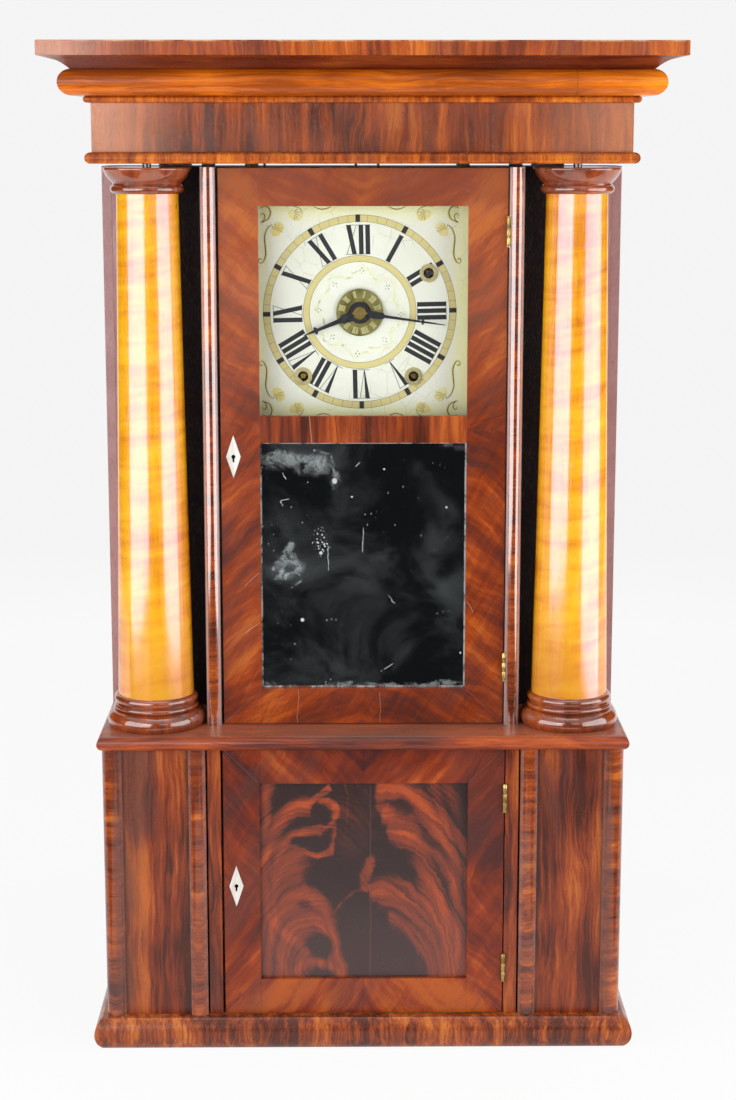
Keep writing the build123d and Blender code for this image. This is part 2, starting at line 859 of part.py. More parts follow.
save(escutcheon(upper_lock_x, upper_lock_height, door_front), "upper_escutcheon")
save(escutcheon(lower_lock_x, lower_lock_height, lower_front), "lower_escutcheon")


def lock_case(left, x, height, back):
    # A box open at the edge of the door, where the bolt comes out.
    with BuildPart() as case:
        inner = back + lock_edge_margin
        block(left, left + lock_width, inner, inner + lock_thickness,
              height - lock_height / 2, height + lock_height / 2)
        middle = inner + lock_thickness / 2
        level = bolt_level(height)
        block(left - cut_overrun, left + lock_width - lock_wall,
              middle - bolt_thickness / 2 - bolt_clearance, middle + bolt_thickness / 2 + bolt_clearance,
              level - bolt_height / 2 - bolt_clearance, level + bolt_height / 2 + bolt_clearance,
              mode=Mode.SUBTRACT)
        keyhole(x, height, inner + lock_wall, inner + lock_thickness + cut_overrun)
    return case


def lock_bolt(left, height, back):
    with BuildPart() as bolt:
        middle = back + lock_edge_margin + lock_thickness / 2
        level = bolt_level(height)
        block(left + bolt_clearance, left + bolt_length, middle - bolt_thickness / 2,
              middle + bolt_thickness / 2, level - bolt_height / 2, level + bolt_height / 2)
    return bolt


save(lock_case(upper_door_left, upper_lock_x, upper_lock_height, door_back), "upper_lock_case")
save(lock_bolt(upper_door_left, upper_lock_height, door_back), "upper_lock_bolt")
save(lock_case(lower_door_left, lower_lock_x, lower_lock_height, lower_door_back), "lower_lock_case")
save(lock_bolt(lower_door_left, lower_lock_height, lower_door_back), "lower_lock_bolt")


# Butt hinges: three knuckles, the middle one on the door

def barrel(x, front, z0, z1, radius, mode=Mode.ADD):
    with BuildSketch(Plane.XY.offset(z0)) as section:
        with Locations((x, y_at(hinge_axis(front)))):
            Circle(radius)
    extrude(section.sketch, amount=z1 - z0, mode=mode)


def leaves(edge, side, opening, front, heights, knuckles, others):
    x = hinge_x(opening)
    third = hinge_length / 3
    with BuildPart() as pieces:
        for height in heights:
            block(edge, edge + side * leaf_thickness, front - leaf_depth, hinge_axis(front),
                  height - hinge_length / 2, height + hinge_length / 2)
        for height in heights:
            for k in others:
                low = height - hinge_length / 2 + k * third
                barrel(x, front, low - knuckle_gap, low + third + knuckle_gap,
                       knuckle_radius + knuckle_clearance, Mode.SUBTRACT)
        for height in heights:
            for k in knuckles:
                low = height - hinge_length / 2 + k * third
                barrel(x, front, low + (knuckle_gap if k else 0),
                       low + third - (knuckle_gap if k < 2 else 0), knuckle_radius)
                barrel(x, front, low - cut_overrun, low + third + cut_overrun,
                       hinge_pin_radius + pin_running_clearance, Mode.SUBTRACT)
    return pieces


save(leaves(upper_door_right, -1, half_opening, door_front, upper_hinge_heights(), (1,), (0, 2)),
     "upper_hinge_leaves")
save(leaves(lower_door_right, -1, half_lower, lower_front, lower_hinge_heights(), (1,), (0, 2)),
     "lower_hinge_leaves")

with BuildPart() as hinge_frame_leaves:
    add(leaves(half_opening, 1, half_opening, door_front, upper_hinge_heights(), (0, 2), (1,)).part)
    add(leaves(half_lower, 1, half_lower, lower_front, lower_hinge_heights(), (0, 2), (1,)).part)
    for opening, front, heights in ((half_opening, door_front, upper_hinge_heights()),
                                    (half_lower, lower_front, lower_hinge_heights())):
        for height in heights:
            top = height + hinge_length / 2
            bottom = height - hinge_length / 2
            barrel(hinge_x(opening), front, bottom - glue_line, top + glue_line, hinge_pin_radius)
            barrel(hinge_x(opening), front, top + glue_line, top + glue_line + pin_head_height,
                   knuckle_radius)
            barrel(hinge_x(opening), front, bottom - glue_line - pin_head_height, bottom - glue_line,
                   knuckle_radius)
save(hinge_frame_leaves, "hinge_frame_leaves")


# Dial

dial_x = dial_offset
dial_z = dial_height_centre
dial_back = dial_front - dial_thickness
windings = (time_winding, strike_winding, alarm_winding)

with BuildPart() as dial_board:
    block(-dial_width / 2, dial_width / 2, dial_back, dial_front, dial_bottom, dial_bottom + dial_height)
    turned(dial_x, dial_z, dial_back - cut_overrun, dial_front + cut_overrun, dial_centre_hole,
           Mode.SUBTRACT)
    for dx, dz in windings:
        turned(dial_x + dx, dial_z + dz, dial_back - cut_overrun, dial_front + cut_overrun,
               winding_hole_radius, Mode.SUBTRACT)
save(dial_board, "dial_board")

with BuildPart() as dial_grommets:
    for dx, dz in windings:
        turned(dial_x + dx, dial_z + dz, dial_back, dial_front + grommet_rim,
               winding_hole_radius - grommet_clearance)
        turned(dial_x + dx, dial_z + dz, dial_front, dial_front + grommet_rim, grommet_radius)
    for dx, dz in windings:
        turned(dial_x + dx, dial_z + dz, dial_back - cut_overrun, dial_front + cut_overrun,
               grommet_bore, Mode.SUBTRACT)
save(dial_grommets, "dial_grommets")


# Hands

def hand_plane(depth, turn):
    # Local x runs along the hand, at its angle clockwise from twelve.
    angle = turn * pi / 180
    return Plane(origin=(dial_x, y_at(depth), dial_z), x_dir=(sin(angle), 0, cos(angle)),
                 z_dir=(0, -1, 0))


def hand_blade(depth, turn, length, width, shares):
    # A broad root, a waist, and a small cross-piece behind the tapered tip.
    upper = [(along * length, across * width / 2) for along, across in shares]
    lower = [(x, -y) for x, y in reversed(upper)]
    with BuildSketch(hand_plane(depth, turn)) as section:
        with BuildLine():
            Polyline(*upper, *lower, close=True)
        make_face()
    extrude(section.sketch, amount=hand_thickness)


alarm_disc_depth = dial_front + alarm_disc_gap
hour_hand_depth = alarm_disc_depth + alarm_disc_thickness + hand_gap
minute_hand_depth = hour_hand_depth + 2 * hand_thickness + hand_gap
hand_nut_depth = minute_hand_depth + 2 * hand_thickness

with BuildPart() as alarm_disc:
    turned(dial_x, dial_z, alarm_disc_depth, alarm_disc_depth + alarm_disc_thickness, alarm_disc_radius)
    turned(dial_x, dial_z, dial_front, hour_hand_depth, hour_pipe_radius + running_clearance,
           Mode.SUBTRACT)
save(alarm_disc, "alarm_disc")

with BuildPart() as hour_hand:
    hand_blade(hour_hand_depth, hour_hand_turn, hour_hand_length, hour_hand_width,
               hour_outline_shares)
    turned(dial_x, dial_z, hour_hand_depth, hour_hand_depth + 2 * hand_thickness, hour_collar_radius)
    turned(dial_x, dial_z, hour_wheel_depth, hour_hand_depth, hour_pipe_radius)
    turned(dial_x, dial_z, hour_wheel_depth, hour_wheel_depth + hour_wheel_thickness, hour_wheel_radius)
    turned(dial_x, dial_z, hour_wheel_depth - cut_overrun, hour_hand_depth + cut_overrun,
           centre_arbor_radius + running_clearance, Mode.SUBTRACT)
save(hour_hand, "hour_hand")

with BuildPart() as minute_hand:
    hand_blade(minute_hand_depth, minute_hand_turn, minute_hand_length, minute_hand_width,
               minute_outline_shares)
    turned(dial_x, dial_z, minute_hand_depth, minute_hand_depth + 2 * hand_thickness, hand_boss_radius)
    turned(dial_x, dial_z, minute_hand_depth - cut_overrun, minute_hand_depth + cut_overrun,
           centre_arbor_radius + glue_line, Mode.SUBTRACT)
save(minute_hand, "minute_hand")


# Wheels

def toothed(x, z, depth, thickness, teeth, radius, height, lean=0):
    # A wheel blank with teeth of four corners each; lean tips them for an escape wheel.
    step = 2 * pi / teeth
    points = []
    for k in range(teeth):
        for share, r in ((-tooth_root_share, radius - height), (lean - tooth_tip_share, radius),
                         (lean + tooth_tip_share, radius), (tooth_root_share, radius - height)):
            angle = (k + share) * step
            points.append((r * sin(angle), r * cos(angle)))
    with BuildSketch(face_plane(depth, x, z)) as section:
        with BuildLine():
            Polyline(*points, close=True)
        make_face()
    extrude(section.sketch, amount=thickness)


def lighten(x, z, depth, thickness, radius, holes=4):
    with BuildSketch(face_plane(depth - cut_overrun, x, z)) as section:
        with PolarLocations(radius * wheel_hole_place_share, holes):
            Circle(radius * wheel_hole_share)
    extrude(section.sketch, amount=thickness + 2 * cut_overrun, mode=Mode.SUBTRACT)


plate_back = back_plate_depth - pillar_tail / 2
arbor_front = front_plate_depth + plate_thickness + pillar_tail / 2
drum_end = drum_depth + drum_length


def winding_drum(winding, radius, wheel):
    x = dial_x + winding[0]
    z = dial_z + winding[1]
    with BuildPart() as drum:
        turned(x, z, drum_depth, drum_end, radius)
        for d0 in (drum_depth, drum_end - drum_flange_thickness):
            turned(x, z, d0, d0 + drum_flange_thickness, radius + drum_flange_radius - drum_radius)
        if wheel:
            turned(x, z, drum_end, drum_end + great_wheel_thickness + drum_flange_thickness, 2 * hub_radius)
            toothed(x, z, drum_end + drum_flange_thickness, great_wheel_thickness, great_wheel_teeth,
                    great_wheel_radius, tooth_height)
        turned(x, z, plate_back, winding_arbor_end - 2 * winding_square, winding_arbor_radius)
        block(x - winding_square / 2, x + winding_square / 2, winding_arbor_end - 2 * winding_square,
              winding_arbor_end, z - winding_square / 2, z + winding_square / 2)
    return drum


save(winding_drum(time_winding, drum_radius, True), "time_drum")
save(winding_drum(strike_winding, drum_radius, True), "strike_drum")
save(winding_drum(alarm_winding, barrel_radius, False), "alarm_barrel")

with BuildPart() as centre_arbor:
    turned(dial_x, dial_z, plate_back, centre_arbor_end, centre_arbor_radius)
    toothed(dial_x, dial_z, centre_wheel_depth, centre_wheel_thickness, centre_wheel_teeth,
            centre_wheel_radius, tooth_height)
    turned(dial_x, dial_z, centre_wheel_depth - hub_length, centre_wheel_depth, hub_radius)
    lighten(dial_x, dial_z, centre_wheel_depth, centre_wheel_thickness, centre_wheel_radius)
    pin_depth = hand_nut_depth + hand_nut_height + hand_pin_radius + glue_line
    with BuildSketch(Plane(origin=(dial_x - hand_pin_length / 2, y_at(pin_depth), dial_z),
                           z_dir=(1, 0, 0))):
        Circle(hand_pin_radius)
    extrude(amount=hand_pin_length)

with BuildPart() as hand_nut:
    turned(dial_x, dial_z, hand_nut_depth, hand_nut_depth + hand_nut_height, hand_nut_radius)
    chamfer(hand_nut.edges().filter_by(GeomType.CIRCLE).sort_by(Axis.Y)[0], length=hand_nut_height / 3)
    turned(dial_x, dial_z, hand_nut_depth - cut_overrun, hand_nut_depth + cut_overrun,
           centre_arbor_radius + glue_line, Mode.SUBTRACT)

with BuildPart() as arbor_and_nut:
    add(centre_arbor.part)
    add(hand_nut.part)
save(arbor_and_nut, "centre_arbor")

escape_x = dial_x + pendulum_offset
verge_z = dial_z + verge_rise
escape_z = verge_z - escape_drop

with BuildPart() as escape_wheel:
    toothed(escape_x, escape_z, escape_depth, escape_thickness, escape_teeth, escape_radius,
            escape_tooth_height, escape_lean_share)
    turned(escape_x, escape_z, plate_back, escape_depth + escape_thickness, arbor_radius)
save(escape_wheel, "escape_wheel")

with BuildPart() as verge:
    with BuildSketch(face_plane(escape_depth, escape_x, verge_z)):
        with BuildLine():
            Polyline(*[(u * verge_reach, v * verge_drop) for u, v in verge_shares], close=True)
        make_face()
    extrude(amount=verge_thickness)
    turned(escape_x, verge_z, escape_depth, crutch_depth + crutch_radius, verge_hub_radius)
    with BuildSketch(Plane(origin=(escape_x, y_at(crutch_depth), verge_z), z_dir=(0, 0, -1))):
        Circle(crutch_radius)
    extrude(amount=crutch_length)
    plate_z = verge_z - crutch_length
    block(escape_x - crutch_plate / 2, escape_x + crutch_plate / 2, crutch_depth - crutch_radius,
          pendulum_depth + crutch_plate / 2, plate_z - crutch_radius, plate_z + crutch_radius)
    with BuildSketch(Plane(origin=(escape_x, y_at(pendulum_depth), plate_z - crutch_plate),
                           z_dir=(0, 0, 1))):
        Circle(pendulum_rod_radius + knuckle_clearance)
    extrude(amount=2 * crutch_plate, mode=Mode.SUBTRACT)
    turned(escape_x, verge_z, escape_depth - cut_overrun, crutch_depth + cut_overrun,
           stud_radius + running_clearance, Mode.SUBTRACT)
save(verge, "verge")

with BuildPart() as pendulum:
    eye_back = pendulum_depth - pendulum_eye_length / 2
    turned(escape_x, verge_z, eye_back, eye_back + pendulum_eye_length, pendulum_eye_radius)
    with BuildSketch(Plane(origin=(escape_x, y_at(pendulum_depth), verge_z - 2 * stud_radius),
                           z_dir=(0, 0, -1))):
        Circle(pendulum_rod_radius)
    extrude(amount=pendulum_length + bob_tail)
    turned(escape_x, verge_z, eye_back - cut_overrun, eye_back + 2 * cut_overrun,
           stud_radius + running_clearance, Mode.SUBTRACT)
    bob_z = verge_z - pendulum_length
    bob_plane = Plane(origin=(escape_x, y_at(pendulum_depth), bob_z), x_dir=(1, 0, 0), z_dir=(0, 0, -1))
    with BuildSketch(bob_plane):
        with BuildLine():
            turned_outline(bob_shares, bob_radius, bob_thickness)
        make_face()
    revolve(axis=Axis((escape_x, y_at(pendulum_depth), bob_z), (0, 1, 0)))
    with BuildSketch(Plane(origin=(escape_x, y_at(pendulum_depth), bob_z - bob_radius),
                           z_dir=(0, 0, -1))):
        RegularPolygon(rating_nut_radius, 8)
    extrude(amount=rating_nut_height)
save(pendulum, "pendulum")


# Movement frame

pillar_places = [(dial_x + sx * (movement_half_width - pillar_inset), z)
                 for sx in (-1, 1)
                 for z in (dial_z - movement_drop + pillar_inset, dial_z + movement_rise - pillar_inset)]
arbor_places = [(time_winding, winding_arbor_radius), (strike_winding, winding_arbor_radius),
                (alarm_winding, winding_arbor_radius), ((0, 0), centre_arbor_radius),
                ((pendulum_offset, verge_rise - escape_drop), arbor_radius),
                (strike_pivot, arbor_radius), (alarm_pivot, arbor_radius)]

with BuildPart() as movement_plates:
    for depth in (back_plate_depth, front_plate_depth):
        block(dial_x - movement_half_width, dial_x + movement_half_width, depth,
              depth + plate_thickness, dial_z - movement_drop, dial_z + movement_rise)
    plate_corners = movement_plates.edges().filter_by(Axis.Y)
    fillet(plate_corners, radius=pillar_inset)
    for x, z in pillar_places:
        turned(x, z, back_plate_depth - cut_overrun, front_plate_depth + cut_overrun,
               pillar_neck_radius + glue_line, Mode.SUBTRACT)
    for (dx, dz), radius in arbor_places:
        turned(dial_x + dx, dial_z + dz, back_plate_depth - cut_overrun,
               front_plate_depth + cut_overrun, radius + running_clearance, Mode.SUBTRACT)

with BuildPart() as movement_pillars:
    for x, z in pillar_places:
        turned(x, z, back_thickness, back_plate_depth - glue_line, pillar_radius)
        turned(x, z, back_thickness, front_plate_depth + plate_thickness + pillar_tail,
               pillar_neck_radius)
        turned(x, z, back_plate_depth + plate_thickness + glue_line, front_plate_depth - glue_line,
               pillar_radius)
    stud_foot = front_plate_depth + plate_thickness + glue_line
    turned(escape_x, verge_z, stud_foot, stud_end, stud_radius)
    turned(escape_x, verge_z, stud_end, stud_end + stud_collar_length, stud_collar_radius)

with BuildPart() as movement_frame:
    add(movement_plates.part)
    add(movement_pillars.part)
save(movement_frame, "movement_frame")


# Strike and alarm

def bar(x0, z0, x1, z1, depth, radius):
    # A straight wire in a plane parallel to the dial.
    length = hypot(x1 - x0, z1 - z0)
    with BuildSketch(Plane(origin=(x0, y_at(depth), z0), z_dir=(x1 - x0, 0, z1 - z0))) as section:
        Circle(radius)
    extrude(section.sketch, amount=length)


gong_x = dial_x + gong_offset
gong_z = dial_z - gong_drop
gong_outer_radius = gong_inner_radius + gong_turns * gong_pitch

with BuildPart() as gong:
    with BuildLine(face_plane(gong_depth, gong_x, gong_z)) as spiral:
        for k in range(2 * gong_turns):
            sign = 1 if k % 2 == 0 else -1
            start = sign * (gong_inner_radius + k * gong_pitch / 2)
            end = -sign * (gong_inner_radius + (k + 1) * gong_pitch / 2)
            ThreePointArc((start, 0), ((start + end) / 2, sign * abs(end - start) / 2), (end, 0))
    with BuildSketch(Plane(origin=spiral.line @ 0, z_dir=spiral.line % 0)):
        Circle(gong_wire_radius)
    sweep(path=spiral.line)
    # The iron block stands over the coil's outer end, clear of the turn inside it.
    block_left = gong_x + gong_outer_radius - gong_pitch + gong_wire_radius + gong_block_gap
    block(block_left, block_left + gong_block_width, back_thickness, gong_depth + gong_block_margin,
          gong_z + glue_line, gong_z + glue_line + gong_block_height)
save(gong, "gong")

with BuildPart() as strike_hammer:
    pivot_x = dial_x + strike_pivot[0]
    pivot_z = dial_z + strike_pivot[1]
    gong_left = gong_x - gong_outer_radius + gong_pitch / 2 - gong_wire_radius
    head_x = gong_left - strike_gap - strike_head_length / 2
    turned(pivot_x, pivot_z, plate_back, arbor_front, arbor_radius)
    bar(pivot_x, pivot_z, head_x, pivot_z - strike_arm_length, hammer_arm_depth, strike_arm_radius)
    bar(head_x - strike_head_length / 2, pivot_z - strike_arm_length,
        head_x + strike_head_length / 2, pivot_z - strike_arm_length, hammer_arm_depth,
        strike_head_radius)
save(strike_hammer, "strike_hammer")

bell_z = dial_z + bell_rise

with BuildPart() as bell:
    with BuildSketch(Plane(origin=(dial_x, y_at(bell_depth), bell_z), x_dir=(1, 0, 0),
                           z_dir=(0, 0, -1))):
        with BuildLine():
            u, v = bell_dome_shares
            inner = bell_radius - bell_wall
            roof = bell_height - bell_wall
            Line((bell_radius, 0), (inner, 0))
            ThreePointArc((inner, 0), (u * inner, v * roof), (0, roof))
            Line((0, roof), (0, bell_height))
            ThreePointArc((0, bell_height), (u * bell_radius, v * bell_height), (bell_radius, 0))
        make_face()
    revolve(axis=Axis((dial_x, y_at(bell_depth), bell_z), (0, 1, 0)))
    turned(dial_x, bell_z, back_thickness, bell_depth + bell_height, bell_post_radius)
    turned(dial_x, bell_z, back_thickness, back_thickness + bell_wall, 3 * bell_post_radius)
save(bell, "bell")

with BuildPart() as alarm_hammer:
    pivot_x = dial_x + alarm_pivot[0]
    pivot_z = dial_z + alarm_pivot[1]
    head_x = dial_x + bell_radius + alarm_gap + alarm_head_length / 2
    turned(pivot_x, pivot_z, plate_back, arbor_front, arbor_radius)
    bar(pivot_x, pivot_z, head_x, bell_z, alarm_arm_depth, strike_arm_radius)
    bar(head_x - alarm_head_length / 2, bell_z, head_x + alarm_head_length / 2, bell_z,
        alarm_arm_depth, alarm_head_radius)
save(alarm_hammer, "alarm_hammer")


# Pulleys, cords and weights

pulley_run = pulley_radius + cord_radius + cord_gap
drum_run = drum_radius + cord_radius + cord_gap
weight_top = case_top - weight_drop
eye_z = weight_top + weight_eye_radius


def pulley(side):
    x = side * (weight_offset - pulley_run)
    rim = pulley_radius + pulley_rim
    half = pulley_thickness / 2
    groove = pulley_groove_width / 2
    with BuildPart() as wheel:
        with BuildSketch(Plane(origin=(x, y_at(chute_centre), case_top), x_dir=(1, 0, 0),
                               z_dir=(0, 0, -1))):
            with BuildLine():
                Polyline((0, -half), (rim, -half), (rim, pulley_lip - half), (pulley_radius, -groove),
                         (pulley_radius, groove), (rim, half - pulley_lip), (rim, half), (0, half),
                         close=True)
            make_face()
        revolve(axis=Axis((x, y_at(chute_centre), case_top), (0, 1, 0)))
        turned(x, case_top, chute_centre - pulley_pin_length / 2, chute_centre + pulley_pin_length / 2,
               pulley_pin_radius)
    return wheel


def weight_cord(side, winding):
    # From the side of the drum, straight to the pulley and over its top.
    drum = (dial_x + winding[0], dial_z + winding[1])
    top = (side * (weight_offset - pulley_run), case_top)
    run = hypot(top[0] - drum[0], top[1] - drum[1])
    along = ((top[0] - drum[0]) / run, (top[1] - drum[1]) / run)
    lean = (drum_run - pulley_run) / run
    across = (-side * along[1], side * along[0])
    normal = [across[i] * sqrt(1 - lean * lean) + along[i] * lean for i in (0, 1)]
    leave = (drum[0] + drum_run * normal[0], drum[1] + drum_run * normal[1])
    meet = (top[0] + pulley_run * normal[0], top[1] + pulley_run * normal[1])
    mid = (normal[0] + side, normal[1])
    mid_length = hypot(*mid)
    crest = (top[0] + pulley_run * mid[0] / mid_length, top[1] + pulley_run * mid[1] / mid_length)
    hang = (top[0] + side * pulley_run, top[1])
    with BuildPart() as cord:
        with BuildLine(face_plane(chute_centre)) as route:
            Line(leave, meet)
            ThreePointArc(meet, crest, hang)
        with BuildSketch(Plane(origin=route.line @ 0, z_dir=route.line % 0)):
            Circle(cord_radius)
        sweep(path=route.line)
    return cord


def cord_fall(side):
    # The hanging length, from the pulley's side to the eye on the weight.
    end = eye_z + weight_eye_radius + weight_eye_wire + cord_end_gap
    with BuildPart() as fall:
        with BuildSketch(Plane.XY.offset(end)):
            with Locations((side * weight_offset, y_at(chute_centre))):
                Circle(cord_radius)
        extrude(amount=case_top - end)
    return fall


def weight(side):
    x = side * weight_offset
    with BuildPart() as iron:
        with BuildSketch(Plane.XY.offset(weight_top - weight_height)):
            with Locations((x, y_at(chute_centre))):
                RectangleRounded(weight_width, weight_thickness, weight_corner)
        extrude(amount=weight_height)
        with BuildSketch(Plane(origin=(x + weight_eye_radius, y_at(chute_centre), eye_z),
                               z_dir=(0, 0, 1))):
            Circle(weight_eye_wire)
        revolve(axis=Axis((x, y_at(chute_centre), eye_z), (0, 1, 0)))
    return iron


save(pulley(1), "time_pulley")
save(pulley(-1), "strike_pulley")
save(weight_cord(1, time_winding), "time_cord")
save(weight_cord(-1, strike_winding), "strike_cord")
save(cord_fall(1), "time_cord_fall")
save(cord_fall(-1), "strike_cord_fall")
save(weight(1), "time_weight")
save(weight(-1), "strike_weight")
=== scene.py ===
import math
import random
import bmesh
import bpy
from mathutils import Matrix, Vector


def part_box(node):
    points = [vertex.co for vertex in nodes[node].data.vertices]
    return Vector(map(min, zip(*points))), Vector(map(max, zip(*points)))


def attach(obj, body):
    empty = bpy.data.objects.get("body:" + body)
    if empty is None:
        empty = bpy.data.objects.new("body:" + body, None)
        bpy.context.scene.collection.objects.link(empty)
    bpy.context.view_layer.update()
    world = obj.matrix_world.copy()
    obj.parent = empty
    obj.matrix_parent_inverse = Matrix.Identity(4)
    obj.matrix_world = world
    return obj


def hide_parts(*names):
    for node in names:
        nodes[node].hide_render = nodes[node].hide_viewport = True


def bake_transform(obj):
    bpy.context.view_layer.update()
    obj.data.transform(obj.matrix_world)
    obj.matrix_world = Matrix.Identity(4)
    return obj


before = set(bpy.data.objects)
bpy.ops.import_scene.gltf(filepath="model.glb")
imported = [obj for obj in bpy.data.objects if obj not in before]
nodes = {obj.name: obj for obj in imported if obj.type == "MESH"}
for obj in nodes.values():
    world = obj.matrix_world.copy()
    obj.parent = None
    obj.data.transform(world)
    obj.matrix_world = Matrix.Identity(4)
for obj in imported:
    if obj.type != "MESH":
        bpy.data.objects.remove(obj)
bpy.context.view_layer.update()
mm = 0.001
print("frame loaded")


# Shader expressions

class Wire:
    # An output socket that can be added, multiplied and so on.
    def __init__(self, graph, socket):
        self.graph = graph
        self.socket = socket

    def calc(self, operation, *others):
        return self.graph.calc(operation, self, *others)

    def __add__(self, other):
        return self.calc("ADD", other)

    def __sub__(self, other):
        return self.calc("SUBTRACT", other)

    def __rsub__(self, other):
        return self.graph.calc("SUBTRACT", other, self)

    def __mul__(self, other):
        return self.calc("MULTIPLY", other)

    def __abs__(self):
        return self.calc("ABSOLUTE")

    def least(self, other):
        return self.calc("MINIMUM", other)

    def most(self, other):
        return self.calc("MAXIMUM", other)

    __radd__ = __add__
    __rmul__ = __mul__


class Graph:
    # A node tree and the maker of its nodes.
    def __init__(self, tree):
        self.tree = tree

    def node(self, kind, settings=None, inputs=None, out=0):
        made = self.tree.nodes.new("ShaderNode" + kind)
        for key, value in (settings or {}).items():
            if key == "stops":
                self.setStops(made.color_ramp, value)
            else:
                setattr(made, key, value)
        for key, value in (inputs or {}).items():
            self.fill(made.inputs[key], value)
        if isinstance(out, tuple):
            return tuple(Wire(self, made.outputs[name]) for name in out)
        return Wire(self, made.outputs[out])

    def fill(self, socket, value):
        if isinstance(value, Wire):
            self.tree.links.new(value.socket, socket)
        else:
            socket.default_value = value

    def setStops(self, ramp, stops):
        while len(ramp.elements) < len(stops):
            ramp.elements.new(1)
        for element, (position, colour) in zip(ramp.elements, stops):
            element.position = position
            element.color = (*colour, 1)

    def calc(self, operation, *values):
        return self.node("Math", {"operation": operation}, dict(enumerate(values)))

    def move(self, operation, *vectors, out="Vector"):
        return self.node("VectorMath", {"operation": operation}, dict(enumerate(vectors)), out)


class Finish(Graph):
    # One material and its Principled shader.
    def __init__(self, name, **constants):
        self.material = bpy.data.materials.new(name)
        self.material.use_nodes = True
        super().__init__(self.material.node_tree)
        self.shader = self.tree.nodes["Principled BSDF"]
        self.feed(**constants)
        self.place = self.node("TexCoord", out="Object")

    def feed(self, **values):
        for key, value in values.items():
            self.fill(self.shader.inputs[key.replace("_", " ")], value)
        return self

    def noise(self, vector, scale=1.0, detail=2.0, rough=0.5, twist=0.0):
        return self.node("TexNoise", None, {"Vector": vector, "Scale": scale, "Detail": detail,
                                            "Roughness": rough, "Distortion": twist}, "Fac")

    def grain(self, vector, factors, *settings):
        # Noise that is finer in some directions than in others.
        return self.noise(self.stretch(vector, factors), 1.0, *settings)

    def cells(self, vector, scale, feature="F1"):
        return self.node("TexVoronoi", {"feature": feature}, {"Vector": vector, "Scale": scale}, "Distance")

    def stretch(self, vector, factors):
        return self.move("MULTIPLY", vector, factors)

    def shift(self, vector, offset):
        return self.move("ADD", vector, offset)

    def length(self, vector):
        return self.move("LENGTH", vector, out="Value")

    def turn(self, vector, degrees):
        # Turns in the plane of the front.
        return self.node("VectorRotate", None, {"Vector": vector, "Axis": (0, 1, 0),
                                                "Angle": math.radians(degrees)})

    def split(self, vector):
        return self.node("SeparateXYZ", None, {0: vector}, ("X", "Y", "Z"))

    def join(self, x, y, z):
        return self.node("CombineXYZ", None, {0: x, 1: y, 2: z})

    def band(self, value, low, high, to=(0.0, 1.0)):
        return self.node("MapRange", {"interpolation_type": "SMOOTHSTEP"},
                         {0: value, 1: low, 2: high, 3: to[0], 4: to[1]})

    def ramp(self, value, *stops):
        return self.node("ValToRGB", {"stops": stops}, {0: value})

    def mix(self, share, first, second):
        colours = (colour if isinstance(colour, Wire) else (*colour, 1) for colour in (first, second))
        return self.node("Mix", {"data_type": "RGBA"}, {0: share, **dict(zip((6, 7), colours))}, 2)

    def mixValues(self, share, first, second):
        return first * (1 - share) + second * share

    def bump(self, height, depth):
        return self.node("Bump", None, {"Height": height, "Distance": depth, "Strength": 1.0})

    # Masks in the plane of the front: 1 on the shape, 0 off it. Places and sizes are in millimetres

    def reach(self, place, centre, radii):
        # How far a place is from the centre of an oval: 1 on its edge.
        away = self.shift(place, (-centre[0] * mm, 0, -centre[1] * mm))
        return self.length(self.stretch(away, (1 / (radii[0] * mm), 0, 1 / (radii[1] * mm))))

    def blob(self, place, centre, radii, soft=0.25):
        return self.band(self.reach(place, centre, radii), 1 + soft, 1 - soft)

    def arch(self, place, centre, radii, width):
        return self.band(abs(self.reach(place, centre, radii) - 1), 0.95 * width / min(radii), 0.0)

    def scratch(self, place, start, end, half):
        # A thin straight line from start to end.
        dx, dz = end[0] - start[0], end[1] - start[1]
        long = math.hypot(dx, dz) / 2 * mm
        middle = (-(start[0] + end[0]) / 2 * mm, 0, -(start[1] + end[1]) / 2 * mm)
        x, y, z = self.split(self.turn(self.shift(place, middle), math.degrees(math.atan2(dz, dx))))
        return self.band(abs(z), half * mm, half * 0.3 * mm) * self.band(abs(x), long, long * 0.85)


def strongest(masks):
    # The highest of several masks at each place.
    first, *others = masks
    for other in others:
        first = first.most(other)
    return first


# Woods: grain runs along one direction, in degrees from X towards Z in the plane of the front

upright = 90.0


def lacquer(f, space, colour, gloss, dark, fibre, pore=0.35):
    # Pores, fibre relief and worn gloss over a wood colour.
    dots = f.grain(space, (120, 2600, 2600), 1.0, 0.5)
    dash = f.band(dots, 0.56, 0.70)
    colour = f.mix(dash * pore, colour, dark)
    wear = f.noise(f.place, 21.0, 4.0, 0.6)
    height = fibre * 0.35 - dash * 0.5 + wear * 0.7
    rough = f.band(wear, 0.25, 0.75, (gloss * 0.8, gloss * 1.3))
    return f.feed(Base_Color=colour, Roughness=rough, Normal=f.bump(height, 0.00004))


def graded(tones, level):
    # The same four tones, each channel raised or lowered.
    return tuple(tuple(c * share for c, share in zip(tone, level)) for tone in tones)


